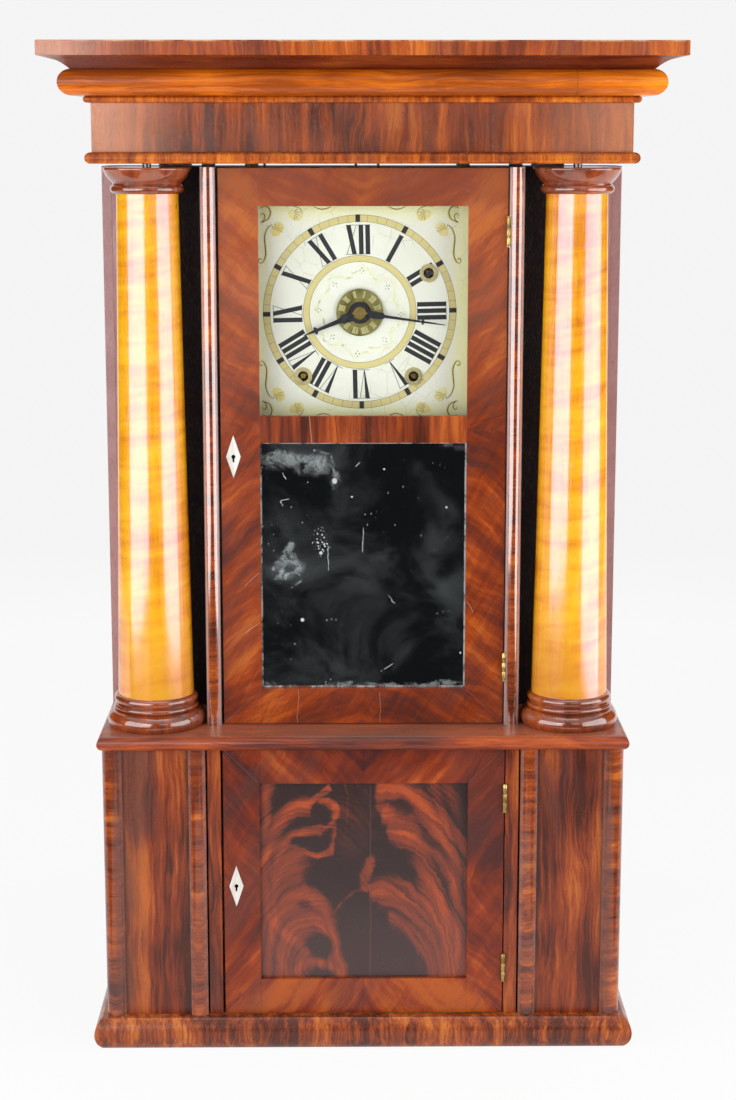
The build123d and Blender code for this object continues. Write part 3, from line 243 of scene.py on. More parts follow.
def wood(name, kind="mahogany", degrees=upright, offset=(0, 0, 0), level=(1, 1, 1), contrast=1.5, streak=1.0,
         curl=0.0, gloss=0.26, blotch=0.8, scale=1.0, dusk=0.35, marks=(), paint=None, **constants):
    # Streaks, fine fibre and soft clouds along the grain, coloured through four tones.
    f = Finish(name, **{"Roughness": gloss, "Specular_IOR_Level": 0.42, **constants})
    stops = graded(tones[kind], level)
    space = f.shift(f.place, offset)
    space = f.turn(space, degrees) if degrees else space
    wander = f.grain(space, (9, 22, 22), 3.0)
    x, y, z = f.split(space)
    space = f.join(x, y + (wander - 0.5) * 0.016, z + (wander - 0.5) * 0.024)
    ribbon = f.grain(space, (3.5 * scale, 70 * scale, 110 * scale), 5.0, 0.65)
    fibre = f.grain(space, (22, 500, 650), 3.0, 0.6)
    cloud = f.grain(space, (9, 17, 17), 2.0)
    tone = (ribbon - 0.5) * (1.1 * streak) + (fibre - 0.5) * (0.45 * streak) + (cloud - 0.5) * blotch
    if curl:
        slant = f.turn(space, 9.0)
        ripple = f.grain(slant, (72, 14, 18), 3.0, 0.55, 0.5)
        tone = tone + (ripple - 0.5) * curl
    tone = tone * contrast + 0.5
    if paint:
        tone = paint(f, tone)
    colour = f.ramp(tone, (0.15, stops[0]), (0.38, stops[1]), (0.6, stops[2]), (0.85, stops[3]))
    if dusk:
        zone = f.band(f.grain(space, (5, 19, 19), 3.0), 0.50, 0.66)
        colour = f.mix(zone * dusk, colour, (0.085, 0.030, 0.025))
    for mark in marks:
        colour = mark(f, colour)
    return lacquer(f, space, colour, gloss, stops[0], fibre)


# Marks on a wood's colour. Places, reaches and half widths are in millimetres

darkCrack = (0.02, 0.008, 0.006)
paleCrack = (0.42, 0.28, 0.19)


def seam(place, colour=darkCrack, half=0.4):
    # A glue line or crack up the piece, at one place across it.
    def draw(f, colour0):
        wobble = (f.noise(f.place, 60.0, 3.0) - 0.5) * 0.0012
        away = abs(f.split(f.place)[0] + wobble - place * mm)
        return f.mix(f.band(away, half * mm, half * 0.4 * mm) * 0.8, colour0, colour)
    return draw


def crack(start, end, colour=paleCrack, half=0.4):
    # A short split, from start to end across and up the front.
    def draw(f, colour0):
        bent = f.shift(f.place, (f.noise(f.place, 90.0, 2.0) - 0.5) * 0.004)
        return f.mix(f.scratch(bent, start, end, half) * 0.6, colour0, colour)
    return draw


def paintedEdgeShade(place, reach=5.0, colour=(0.03, 0.012, 0.008)):
    # Painted shade along an upright edge, where a half-round stands proud of the board, patchy.
    def draw(f, colour0):
        near = f.band(abs(f.split(f.place)[0] - place * mm), reach * mm, 0.0)
        patchy = f.band(f.noise(f.place, 35.0, 3.0), 0.25, 0.6)
        return f.mix(near * (patchy * 0.5 + 0.5) * 0.75, colour0, colour)
    return draw


def shade(pale, dark, colour=(0.008, 0.004, 0.003)):
    # Painted shade, nearly black, from one distance off the middle inwards, where the slots behind the
    # columns lie in shadow.
    def draw(f, colour0):
        return f.mix(f.band(abs(f.split(f.place)[0]), pale * mm, dark * mm), colour0, colour)
    return draw


def wornEdge(height, side, front, reach, colour=(0.62, 0.40, 0.22)):
    # Pale bare wood where a board's upper edge has rubbed, at its front and sides.
    far, close = reach * 2 * mm, reach * 0.5 * mm

    def draw(f, colour0):
        x, y, z = f.split(f.place)
        flank = f.band(abs(x), side * mm - far, side * mm - close)
        face = f.band(y, front * mm + far, front * mm + close)
        near = f.band(abs(z - height * mm), far, close) * flank.most(face)
        patchy = f.band(f.grain(f.place, (25, 60, 60), 4.0, 0.7), 0.4, 0.6)
        return f.mix(near * patchy * 0.8, colour0, colour)
    return draw


def paintedSheenAndTint(axis, start, full, colour, share, above=-1000.0):
    # A colour laid over the wood, from nothing at one place to its full share at another: painted reflection
    # on some pieces, a plain tint on others.
    def draw(f, colour0):
        place = dict(zip("xyz", f.split(f.place)))
        grown = f.band(place[axis], start * mm, full * mm) * f.band(place["z"], above * mm, (above + 1) * mm)
        patchy = f.grain(f.place, (14, 30, 30), 4.0, 0.6) * 0.8 + 0.6
        return f.mix(grown * patchy * share, colour0, colour)
    return draw


def darkBand(place, half, share, colour=(0.05, 0.018, 0.014)):
    # A dark upright zone of the figure.
    def draw(f, colour0):
        x, y, z = f.split(f.place)
        drift = (f.grain(f.place, (30, 30, 45), 3.0) - 0.5) * 0.016
        near = f.band(abs(x + drift - place * mm), half * mm * 1.4, half * mm * 0.2)
        return f.mix(near * share, colour0, colour)
    return draw


# Painted reflection lines in the quirks on each side of the half-rounds, where their sheen falls, and painted
# shade by the outer lower ones: middle and half width, in millimetres

quirks = {"upper": ((140.0, 3.4, 6.6, 0.75),), "lower": ((155.2, 4.6, 7.8, 0.22), (234.0, 6.0, 8.8, 0.16)),
          "wax": (0.55, 0.46, 0.46), "dusk": (0.10, 0.03, 0.02)}


# Pale painted reflections along the half-rounds' edges, and painted shade on the inner side of the outer
# lower half-rounds.
def paintedSheenAndShade(f, colour0):
    x, y, z = f.split(f.place)
    away = abs(x)
    above = f.band(z, 0.298, 0.3)
    lines = []
    for rows, part in ((quirks["upper"], above), (quirks["lower"], 1 - above)):
        for middle, start, full, share in rows:
            reach = abs(away - middle * mm)
            lines.append(f.band(reach, start * mm, full * mm) * f.band(reach, 0.012, 0.010) * share * part)
    patchy = f.grain(f.place, (60, 60, 16), 4.0, 0.6) * 0.9 + 0.5
    inner = f.band(away, 0.236, 0.230) * (1 - above) * f.band(away, 0.2, 0.21)
    # Painted shade, in the dusk colour.
    colour0 = f.mix(inner * 0.55, colour0, quirks["dusk"])
    # Painted reflection lines, in the pale sheen colour.
    return f.mix(strongest(lines) * patchy, colour0, quirks["wax"])


tones = {
    "mahogany": ((0.060, 0.012, 0.006), (0.16, 0.028, 0.008), (0.27, 0.052, 0.011), (0.42, 0.115, 0.020)),
    "door": ((0.075, 0.018, 0.012), (0.17, 0.025, 0.006), (0.285, 0.045, 0.006), (0.46, 0.110, 0.012)),
    "light": ((0.14, 0.026, 0.006), (0.26, 0.050, 0.008), (0.40, 0.090, 0.010), (0.56, 0.170, 0.022)),
    "bullnose": ((0.22, 0.040, 0.004), (0.38, 0.076, 0.005), (0.52, 0.120, 0.006), (0.64, 0.200, 0.012)),
    "maple": ((0.62, 0.19, 0.004), (0.80, 0.32, 0.007), (0.89, 0.43, 0.010), (0.93, 0.51, 0.022)),
    # The column backings' pinkish tones are a painted reflection, the sheen they catch at a grazing angle.
    "backing": ((0.20, 0.095, 0.095), (0.30, 0.160, 0.160), (0.40, 0.230, 0.230), (0.52, 0.340, 0.340)),
    # Painted shade: near-black tones for the door box walls, which lie in shadow in the slots beside the
    # columns.
    "soot": ((0.006, 0.003, 0.003), (0.010, 0.005, 0.004), (0.018, 0.008, 0.006), (0.04, 0.015, 0.01)),
    "pine": ((0.12, 0.055, 0.022), (0.22, 0.11, 0.045), (0.33, 0.18, 0.08), (0.42, 0.25, 0.12)),
}

# Both doors: the veneer is laid in mirrored leaves, so its stripes run up and away from the middle.
# Window and outer edges are left, right, bottom, top; a zone has its start, full height and what it adds

doorVeneer = {
    "stripe": 80.0, "centre": 0.6,
    "upper": {
        "window": (-94.8, 96.0, 340.2, 789.3), "outer": (-130.8, 132.0, 306.2, 823.3), "mirrorLine": 585.8,
        "slope": 37.0, "railSlope": 28.0, "zones": ((560, 760, 0.05), (560, 420, -0.12)),
    },
    "lower": {
        "window": (-96.8, 98.0, 64.7, 257.3), "outer": (-130.8, 132.0, 30.7, 291.3), "mirrorLine": 161.0,
        "slope": 46.0, "railSlope": 50.0, "zones": ((150, 30, 0.04), (120, 240, -0.20)),
    },
}


def doorFigure(values):
    # Mirrored stripes, changing direction at each mitre, over broad soft clouds.
    left, right, bottom, top = (edge * mm for edge in values["window"])
    half, span = (right - left) / 2, (top - bottom) / 2
    railShare = 1 / (values["outer"][3] * mm - top)
    stileShare = 1 / (values["outer"][1] * mm - right)

    def paint(f, tone):
        x, y, z = f.split(f.place)
        away = abs(x - doorVeneer["centre"] * mm)
        height = abs(z - values["mirrorLine"] * mm)
        rail = f.band((height - span) * railShare - (away - half) * stileShare, -0.012, 0.012)
        stripes = []
        for degrees, offset in ((values["slope"], 0.0), (values["railSlope"], 3.7)):
            angle = math.radians(degrees)
            along = away * math.cos(angle) + height * math.sin(angle)
            across = height * math.cos(angle) - away * math.sin(angle)
            drift = f.noise(f.join(x * 16, offset, z * 16), 1.0, 3.0) - 0.5
            line = f.join(along * 11, drift * 0.5 + offset, (across + drift * 0.03) * doorVeneer["stripe"])
            fine = f.noise(line, 1.0, 5.0, 0.68) - 0.5
            broad = f.noise(line, 0.30, 2.0) - 0.5
            stripes.append(fine * 1.3 + broad * 1.5)
        clouds = f.grain(f.place, (17, 17, 13), 3.0) - 0.5
        figure = f.mixValues(rail, *stripes) + clouds * 0.75 + (tone - 0.5) * 0.30 + 0.5
        for start, full, amount in values["zones"]:
            figure = figure + f.band(z, start * mm, full * mm) * amount
        return figure
    return paint


def mitres(values):
    # The fine grey line where stile and rail veneers meet at each corner.
    window, outer = values["window"], values["outer"]

    def draw(f, colour0):
        lines = strongest(f.scratch(f.place, (window[i], window[j]), (outer[i], outer[j]), 0.5)
                          for i in (0, 1) for j in (2, 3))
        return f.mix(lines * 0.4, colour0, (0.16, 0.10, 0.09))
    return draw


def midRail(low, high):
    # Upright pieces of veneer across the bar between the dial and the mirror.
    middle, half = (low + high) / 2 * mm, (high - low) / 2 * mm

    def draw(f, colour0):
        x, y, z = f.split(f.place)
        inside = f.band(abs(z - middle), half + 0.0003, half - 0.0003)
        inside = inside * f.band(abs(x - doorVeneer["centre"] * mm), 0.0957, 0.0951)
        bands = (f.noise(f.join(x * 130, 0, z * 9), 1.0, 4.0, 0.65) - 0.5) * 1.2
        bands = bands + (f.noise(f.join(x * 26, 1, z * 4), 1.0, 2.0) - 0.5) * 1.6 + 0.5
        colour = f.ramp(bands, (0.22, (0.060, 0.012, 0.006)), (0.45, (0.17, 0.028, 0.008)),
                        (0.65, (0.31, 0.060, 0.012)), (0.85, (0.46, 0.120, 0.020)))
        for place, tint in ((-48.0, (0.4, 0.22, 0.12)), (-24.0, darkCrack), (3.5, darkCrack)):
            line = f.band(abs(x - place * mm + (z - middle) * 0.08), 0.0006, 0.0002)
            colour = f.mix(line * 0.7, colour, tint)
        return f.mix(inside, colour0, colour)
    return draw


# The lower panel: crotch veneer. Places are in millimetres across, and up from the panel's foot

crotch = {
    "foot": 64.7, "seam": 7.0, "heart": (0.024, 0.0105, 0.0095), "low": (0.046, 0.0235, 0.0225),
    "sway": 0.014, "ruffle": 0.0060,
    # Each arch: centre, radii, width, strength, and the span across that it keeps to
    "arches": (
        ((10, -30), (99, 300), 13, 0.45, (70, 110)), ((10, -30), (88, 285), 9, 0.7, (57, 110)),
        ((22, 40), (68, 150), 13, 0.95, (14, 110)), ((14, 0), (68, 156), 15, 0.9, (24, 110)),
        ((24, -35), (66, 122), 11, 0.85, (9, 110)), ((24, -30), (54, 103), 6, 0.6, (14, 110)),
        ((18, -30), (52, 92), 9, 0.8, (24, 110)),
        ((-60, 150), (34, 80), 11, 0.75, (-110, -79)), ((-45, 100), (50, 72), 13, 0.95, (-110, -50)),
        ((-41, 161), (14, 15), 6, 0.95, (-40, -20)), ((-42, 85), (43, 61), 10, 0.85, (-110, -40)),
        ((-50, 60), (38, 64), 14, 0.75, (-110, -60)), ((-62, -5), (42, 88), 9, 0.75, (-78, -12)),
        ((-55, -10), (30, 72), 8, 0.6, (-80, -20)), ((-45, -20), (27, 38), 9, 0.85, (-80, -18)),
        ((8, 40), (42, 48), 3, 0.35, (-38, 2)),
    ),
    # Each bar: start, end, half width, strength
    "bars": (
        ((-62, 167), (-28, 190), 6, 0.9), ((-74, 108), (-56, 124), 7, 0.75), ((-59, 124), (-42, 118), 5, 0.8),
        ((-46, 118), (-29, 125), 5, 0.85), ((-31, 120), (-29, 150), 4.5, 0.7), ((-21, 28), (-16, 0), 2, 0.35),
    ),
    # Each glow: centre, radii, strength
    "glows": (
        ((22, 165), (5, 12), 0.8), ((17, 178), (5, 14), 0.7), ((90, 25), (10, 66), 0.5),
        ((70, 95), (15, 46), 0.66), ((60, 128), (12, 18), 0.5), ((-78, 45), (34, 66), 0.6),
        ((-72, 100), (22, 40), 0.6), ((7, 109), (4.5, 9), 0.7), ((3, 98), (5, 12), 0.6),
        ((8, 88), (10, 5), 0.7), ((-14, 150), (26, 34), 0.2), ((30, 12), (26, 7), 0.12),
    ),
    # Each shadow takes the glow away: centre, radii, strength
    "shadows": (
        ((-41, 161), (7.5, 9), 1.0), ((-53, 133), (17, 5), 0.95), ((-33, 137), (4, 7), 0.6),
        ((-57, 151), (8, 2.6), 0.6), ((-42, 32), (15, 12), 1.0), ((-56, 75), (6, 4), 0.5),
        ((-40, 1), (12, 8), 0.8), ((-30, 98), (24, 15), 0.85), ((38, 168), (9, 11), 0.5),
    ),
    # The rings on the left and right of the seam: their shift, and how narrow they are
    "rings": (((50, -10), 1.6), ((-18, 30), 1.9)),
    "flames": ((0.052, 0.015, 0.011), (0.125, 0.023, 0.012), (0.205, 0.034, 0.012), (0.36, 0.056, 0.010)),
}


def crotchPanel():
    f = Finish("crotchPanel", Roughness=0.27, Specular_IOR_Level=0.5)
    sway = f.noise(f.place, 21.0, 3.0, 0.55) - 0.5
    swell = f.noise(f.shift(f.place, (3.1, 0, 1.7)), 24.0, 3.0, 0.55) - 0.5
    ruffle = f.noise(f.place, 95.0, 4.0, 0.65) - 0.5
    x, y, z = f.split(f.place)
    across = x + sway * crotch["sway"] + ruffle * crotch["ruffle"]
    height = z - crotch["foot"] * mm + swell * crotch["sway"] * 1.4 + ruffle * crotch["ruffle"]
    flat = f.join(across, 0, height)

    masks = []
    for centre, radii, width, strength, (low, high) in crotch["arches"]:
        middle, half = (low + high) / 2, (high - low) / 2
        kept = f.band(abs(across - middle * mm), (half + 4) * mm, (half - 2) * mm)
        masks.append(f.arch(flat, centre, radii, width) * kept * strength)
    masks += [f.scratch(flat, start, end, half) * strength for start, end, half, strength in crotch["bars"]]
    masks += [f.blob(flat, centre, radii, 0.55) * strength for centre, radii, strength in crotch["glows"]]
    glow = strongest(masks)
    for centre, radii, strength in crotch["shadows"]:
        glow = glow * (1 - f.blob(flat, centre, radii, 0.35) * strength)

    sides = [f.length(f.stretch(f.shift(flat, (dx * mm, 0, dz * mm)), (narrow, 0, 1)))
             for (dx, dz), narrow in crotch["rings"]]
    seamPlace = crotch["seam"] * mm
    ring = f.mixValues(f.band(across, seamPlace - 0.002, seamPlace + 0.002), *sides)
    rays = f.noise(f.join(ring * 330, 0, across * 16), 1.0, 5.0, 0.7)
    broad = f.noise(f.join(ring * 75, 2, across * 9), 1.0, 2.0)
    grain = f.noise(f.join(across * 520, 0, height * 60), 1.0, 3.0, 0.6)
    upper = f.band(height, 0.118, 0.165) * f.band(abs(across - 0.002), 0.030, 0.020)
    threads = f.band(f.noise(f.join(across * 170, 0, height * 6), 1.0, 3.0, 0.6), 0.50, 0.68)
    glow = glow.most(upper * threads * 0.55)
    glow = glow * (rays * 1.9 + broad * 1.5 - 0.95) + (rays - 0.5) * 0.30 + (broad - 0.5) * 0.35
    low = f.band(height, 0.105, 0.015)
    ground = f.mix(low, crotch["heart"], crotch["low"])
    flames = zip((0.05, 0.32, 0.62, 0.95), crotch["flames"])
    flame = f.mix(low * 0.35, f.ramp(glow, *flames), (0.17, 0.055, 0.040))
    colour = f.mix(f.band(glow, 0.0, 0.42), ground, flame)
    colour = f.mix(f.band(grain, 0.50, 0.80) * 0.30, colour, (0.045, 0.018, 0.015))
    line = f.band(abs(x - seamPlace + sway * 0.004), 0.0006, 0.0002)
    colour = f.mix(line * 0.25, colour, (0.22, 0.08, 0.05))
    return lacquer(f, f.turn(f.place, upright), colour, 0.27, (0.03, 0.012, 0.01), grain, 0.2)


def topGrain(height):
    # Above this height, in millimetres, the grain runs along the board.
    def paint(f, tone):
        x, y, z = f.split(f.place)
        drift = (f.grain(f.place, (9, 22, 1), 3.0) - 0.5) * 0.03
        line = f.noise(f.join(x * 3.2, (y + drift) * 95, 0), 1.0, 5.0, 0.65)
        cloud = f.noise(f.join(x * 8, (y + drift) * 22, 2), 1.0, 2.0)
        flat = (line - 0.5) * 1.7 + (cloud - 0.5) * 1.2 + 0.32
        return f.mixValues(f.band(z, height * mm - 0.0003, height * mm - 0.0001), tone, flat)
    return paint


# Every wood: its tones, its grain, and the fine seams, cracks and worn places that the front shows, with some
# painted reflections and painted shade

# A pinkish grey, used for painted reflection.
mauve = (0.36, 0.19, 0.17)
# A pale colour, partly paler veneer and partly painted reflection.
paleVeneerAndSheen = (0.56, 0.26, 0.15)
woods = {
    "upperVeneer": dict(
        kind="door", degrees=60.0, dusk=0.3, gloss=0.22, paint=doorFigure(doorVeneer["upper"]),
        marks=[paintedSheenAndTint("z", 560, 700, (0.36, 0.135, 0.075), 0.26),
               paintedSheenAndTint("z", 782, 800, (0.16, 0.028, 0.010), 0.4),
               mitres(doorVeneer["upper"]), midRail(573.3, 598.3), crack((98, 590), (131, 600), darkCrack),
               crack((-96, 452), (-111, 438)), crack((-96, 404), (-111, 393)), crack((97, 424), (103, 413)),
               crack((-61.5, 306), (-60.5, 340), half=0.3), crack((17, 306), (16.5, 338), half=0.3)]),
    "lowerVeneer": dict(
        kind="door", degrees=60.0, contrast=1.7, level=(0.80, 0.66, 0.75),
        paint=doorFigure(doorVeneer["lower"]),
        marks=[mitres(doorVeneer["lower"]), crack((-104, 158), (-98, 160), darkCrack), seam(0.0)],
        Specular_IOR_Level=0.34),
    "frieze": dict(
        level=(1.2, 1.2, 0.6), blotch=1.1, streak=0.75, scale=1.8, dusk=0.3,
        marks=[seam(1.0), seam(-89.5, (0.09, 0.03, 0.02), 0.5), darkBand(-136, 7, 0.75),
               darkBand(-98, 5, 0.5), darkBand(-74, 12, 0.3), darkBand(60, 8, 0.5), darkBand(118, 9, 0.45),
               # The frieze's ends: partly paler veneer and partly painted reflection of the lights on the
               # left and right.
               darkBand(172, 6, 0.4), paintedSheenAndTint("x", -150, -235, paleVeneerAndSheen, 0.58),
               paintedSheenAndTint("x", 130, 235, paleVeneerAndSheen, 0.38)],
        Specular_IOR_Level=0.55),
    "beads": dict(kind="light", blotch=0.7, gloss=0.22, offset=(0.3, 0, 0.2), streak=0.9, scale=1.8,
                  contrast=1.8, level=(1.1, 1.05, 0.5)),
    "topBoard": dict(
        kind="light", streak=0.7, contrast=1.7, scale=2.2, dusk=0.4, level=(1.0, 0.85, 0.5),
        paint=topGrain(933.0),
        # Top board: a painted reflection on its left end.
        marks=[wornEdge(932.8, 282.0, -101.7, 0.8), paintedSheenAndTint("x", -190, -270, (0.46, 0.27, 0.21), 0.6)]),
    # Cornice splay: a painted reflection on its left end.
    "splay": dict(degrees=0.0, level=(0.8, 0.7, 0.8), streak=0.7, offset=(0.1, 0.2, 0),
                  marks=[paintedSheenAndTint("x", -160, -260, mauve, 0.35)]),
    "bullnose": dict(kind="bullnose", degrees=0.0, blotch=0.9, gloss=0.17, scale=0.8, dusk=0.12,
                     level=(1.3, 1.35, 0.8), offset=(0.5, 0, 0.1), marks=[seam(187.0, half=0.3)]),
    "turned": dict(streak=0.6, gloss=0.17, contrast=1.3, dusk=0.2, level=(1.25, 1.2, 0.8),
                   offset=(0, 0.4, 0), Coat_Weight=0.8, Coat_Roughness=0.10, Coat_IOR=1.8),
    # Column backings: pinkish tones as painted reflection, and painted shade in the slots behind the columns.
    "backing": dict(kind="backing", streak=0.8, blotch=0.5, gloss=0.45, dusk=0.0,
                    marks=[shade(205.0, 185.0)]),
    # Half-rounds: painted reflection lines and painted shade in their quirks.
    "strips": dict(degrees=3.0, level=(1.15, 1.1, 0.8), gloss=0.13, offset=(0, 0, 0.2), marks=[paintedSheenAndShade],
                   Coat_Weight=1.0, Coat_Roughness=0.08, Coat_IOR=2.2),
    # The door box walls are painted in shade.
    "box": dict(kind="soot", streak=0.7, blotch=0.4, gloss=0.5, dusk=0.0, Specular_IOR_Level=0.15),
    "shelf": dict(
        degrees=0.0, level=(1.0, 0.7, 0.5), gloss=0.3, contrast=1.8, offset=(0, 0, 0.37),
        marks=[paintedSheenAndTint("z", 304.6, 305.2, (0.56, 0.26, 0.17), 0.34), wornEdge(305.3, 249.0, -76.3, 0.7)]),
    # Lower front boards: painted shade along the half-rounds' edges.
    "flanks": dict(level=(0.95, 0.82, 0.7), gloss=0.28, scale=0.7, contrast=1.9, dusk=0.75,
                   offset=(0.2, 0, 0), marks=[paintedEdgeShade(place) for place in (-163.5, -226.0, 163.5, 226.0)]),
    # Side boards: a painted reflection along their upper front edge.
    "sides": dict(level=(1.1, 1.1, 1.1), gloss=0.3, scale=0.6, offset=(0, 0.7, 0),
                  marks=[paintedSheenAndTint("y", 45.2, 44.0, (0.42, 0.24, 0.24), 0.85, 300.0)]),
    "base": dict(streak=1.1, gloss=0.24, offset=(0.9, 0, 0), contrast=1.8, level=(1.15, 1.2, 1.1),
                 marks=[seam(place) for place in (-171, -62, 24, 133, 206)]),
    "maple": dict(
        kind="maple", streak=0.45, curl=0.85, gloss=0.12, blotch=0.45, dusk=0.0,
        marks=[crack((-168, 792), (-169, 786), (0.12, 0.04, 0.01), 0.8),
               paintedSheenAndTint("z", 430, 350, (0.56, 0.20, 0.03), 0.5)],
        IOR=2.35, Specular_IOR_Level=0.5, Specular_Tint=(1.0, 0.63, 1.0, 1)),
    "pine": dict(kind="pine", streak=1.1, blotch=0.5, gloss=0.6, dusk=0.0),
}
finishes = {name: wood(name, **values) for name, values in woods.items()}
polish = finishes["strips"]
polish.feed(Coat_Weight=polish.band(polish.split(polish.place)[2], 0.295, 0.303, (0.15, 1.0)))
print("woods made")


# Metals and the rest

def metal(name, colour, dark, rough, depth=0.00003):
    f = Finish(name, Metallic=1.0, Roughness=rough)
    stain = f.noise(f.place, 55.0, 5.0, 0.65)
    speck = f.noise(f.place, 700.0, 2.0, 0.5)
    tint = f.mix(f.band(stain, 0.38, 0.7), colour, dark)
    return f.feed(Base_Color=tint, Roughness=f.band(stain, 0.3, 0.75, (rough * 0.75, rough * 1.5)),
                  Normal=f.bump(speck + stain, depth))


metals = {
    "brass": ((0.60, 0.44, 0.15), (0.24, 0.16, 0.05), 0.32),
    "paleBrass": ((0.80, 0.72, 0.42), (0.55, 0.47, 0.22), 0.4),
    "alarmBrass": ((0.36, 0.33, 0.12), (0.17, 0.16, 0.05), 0.5),
    "steel": ((0.33, 0.33, 0.34), (0.10, 0.09, 0.08), 0.38),
    "bluedSteel": ((0.075, 0.080, 0.095), (0.045, 0.043, 0.048), 0.42),
    "iron": ((0.075, 0.068, 0.062), (0.055, 0.030, 0.018), 0.6, 0.0003),
}
finishes.update({name: metal(name, *values) for name, values in metals.items()})


def paint(name, colour, worn, wear=(0.62, 0.8)):
    # Old paint: two close tones, with brush lines and small losses.
    f = Finish(name, Roughness=0.5, Specular_IOR_Level=0.3)
    cloud = f.noise(f.place, 60.0, 4.0, 0.65)
    brush = f.grain(f.place, (700, 300, 120), 2.0)
    mixed = f.mix(f.band(cloud, *wear), colour, worn)
    mixed = f.mix(f.band(brush, 0.45, 0.8) * 0.25, mixed, worn)
    return f.feed(Base_Color=mixed, Normal=f.bump(brush, 0.00004))


paints = {
    "blackPaint": ((0.028, 0.030, 0.036), (0.075, 0.078, 0.08)),
    "linePaint": ((0.15, 0.14, 0.10), (0.42, 0.40, 0.28)),
    "yellowPaint": ((0.74, 0.66, 0.28), (0.66, 0.60, 0.33), (0.5, 0.75)),
    "goldPaint": ((0.84, 0.74, 0.26), (0.86, 0.82, 0.44), (0.45, 0.65)),
    "olivePaint": ((0.13, 0.12, 0.045), (0.36, 0.34, 0.15)),
    "palePaint": ((0.86, 0.88, 0.47), (0.89, 0.91, 0.60), (0.45, 0.65)),
    "pinkPaint": ((0.45, 0.25, 0.18), (0.58, 0.45, 0.33)),
    "greenPaint": ((0.20, 0.26, 0.12), (0.42, 0.46, 0.28)),
    "discFigure": ((0.62, 0.60, 0.30), (0.50, 0.48, 0.22)),
}
finishes.update({name: paint(name, *values) for name, values in paints.items()})


def bone():
    f = Finish("bone", Roughness=0.3)
    stain = f.grain(f.place, (120, 120, 40), 3.0)
    return f.feed(Base_Color=f.ramp(stain, (0.3, (0.50, 0.46, 0.40)), (0.6, (0.70, 0.68, 0.64))))


dialCentre = (-2.4, 691.2)


def dialPaint():
    # Cream ground, greener towards the window edges, with hairline cracks.
    f = Finish("dialPaint", Roughness=0.5, Specular_IOR_Level=0.3)
    cloud = f.noise(f.place, 18.0, 4.0, 0.6)
    x, y, z = f.split(f.shift(f.place, (-dialCentre[0] * mm, 0, -dialCentre[1] * mm)))
    colour = f.ramp(cloud, (0.3, (0.84, 0.87, 0.74)), (0.65, (0.91, 0.95, 0.84)))
    rim = f.band(abs(x).most(abs(z)), 0.078, 0.098)
    colour = f.mix(rim * (cloud * 0.6 + 0.40), colour, (0.94, 0.95, 0.42))
    stain = f.band(f.noise(f.place, 9.0, 3.0), 0.56, 0.75)
    colour = f.mix(stain * 0.3, colour, (0.80, 0.76, 0.50))
    net = f.cells(f.place, 55.0, "DISTANCE_TO_EDGE")
    zone = f.band(f.noise(f.place, 14.0, 2.0), 0.5, 0.62)
    colour = f.mix(f.band(net, 0.012, 0.002) * zone * 0.5, colour, (0.25, 0.22, 0.16))
    return f.feed(Base_Color=colour, Normal=f.bump(cloud, 0.00005))


# The looking glass: dark, with its silvering clouded, spotted and scratched. All in millimetres:
# clouds, crumbs and dots have a centre and radii, smears and scratches their ends, and smears a half width

mirrorWear = {
    "lost": (0.085, 0.122, 0.130), "silver": (0.70, 0.74, 0.74), "haze": (0.56, 0.64, 0.66),
    "pale": (0.42, 0.46, 0.46), "centre": (0.6, 456.8), "half": (95.4, 116.5),
    "clouds": (((-74, 557), (19, 7)), ((-45, 553), (16, 9)), ((-26, 538), (4, 6)), ((-70, 456), (12, 8)),
               ((90, 571), (10, 5)), ((-40, 342), (50, 2.2)), ((50, 342), (44, 1.8))),
    "smears": (((-46, 566), (-30, 562), 1.6), ((-29, 563), (-25, 536), 1.5), ((-64, 480), (-85, 450), 5.0),
               ((-62, 450), (-55, 444), 1.4), ((-55, 444), (-67, 436), 1.4), ((-84, 452), (-72, 452), 1.2)),
    "crumbs": ((-38, 480), (7, 13)),
    "dots": (((-56.6, 405), (1.7, 1.7)), ((78, 512), (1, 1)), ((92, 373), (1, 1)),
             ((-39, 469), (1.5, 1.5)), ((-26, 537), (2.2, 2.6)), ((20, 548), (1.0, 0.8)),
             ((-10, 522), (1.0, 0.8))),
    "scratches": (((-76.4, 518.5), (-68.4, 520)), ((-76.4, 518.5), (-74.6, 513)),
                  ((23.8, 428.5), (30.2, 420.3)), ((0.6, 494), (-0.2, 468.6)), ((-32.5, 477), (-32, 451)),
                  ((-74, 545), (-71, 538)), ((-6, 551), (-3, 554)), ((20, 357), (28, 362))),
}


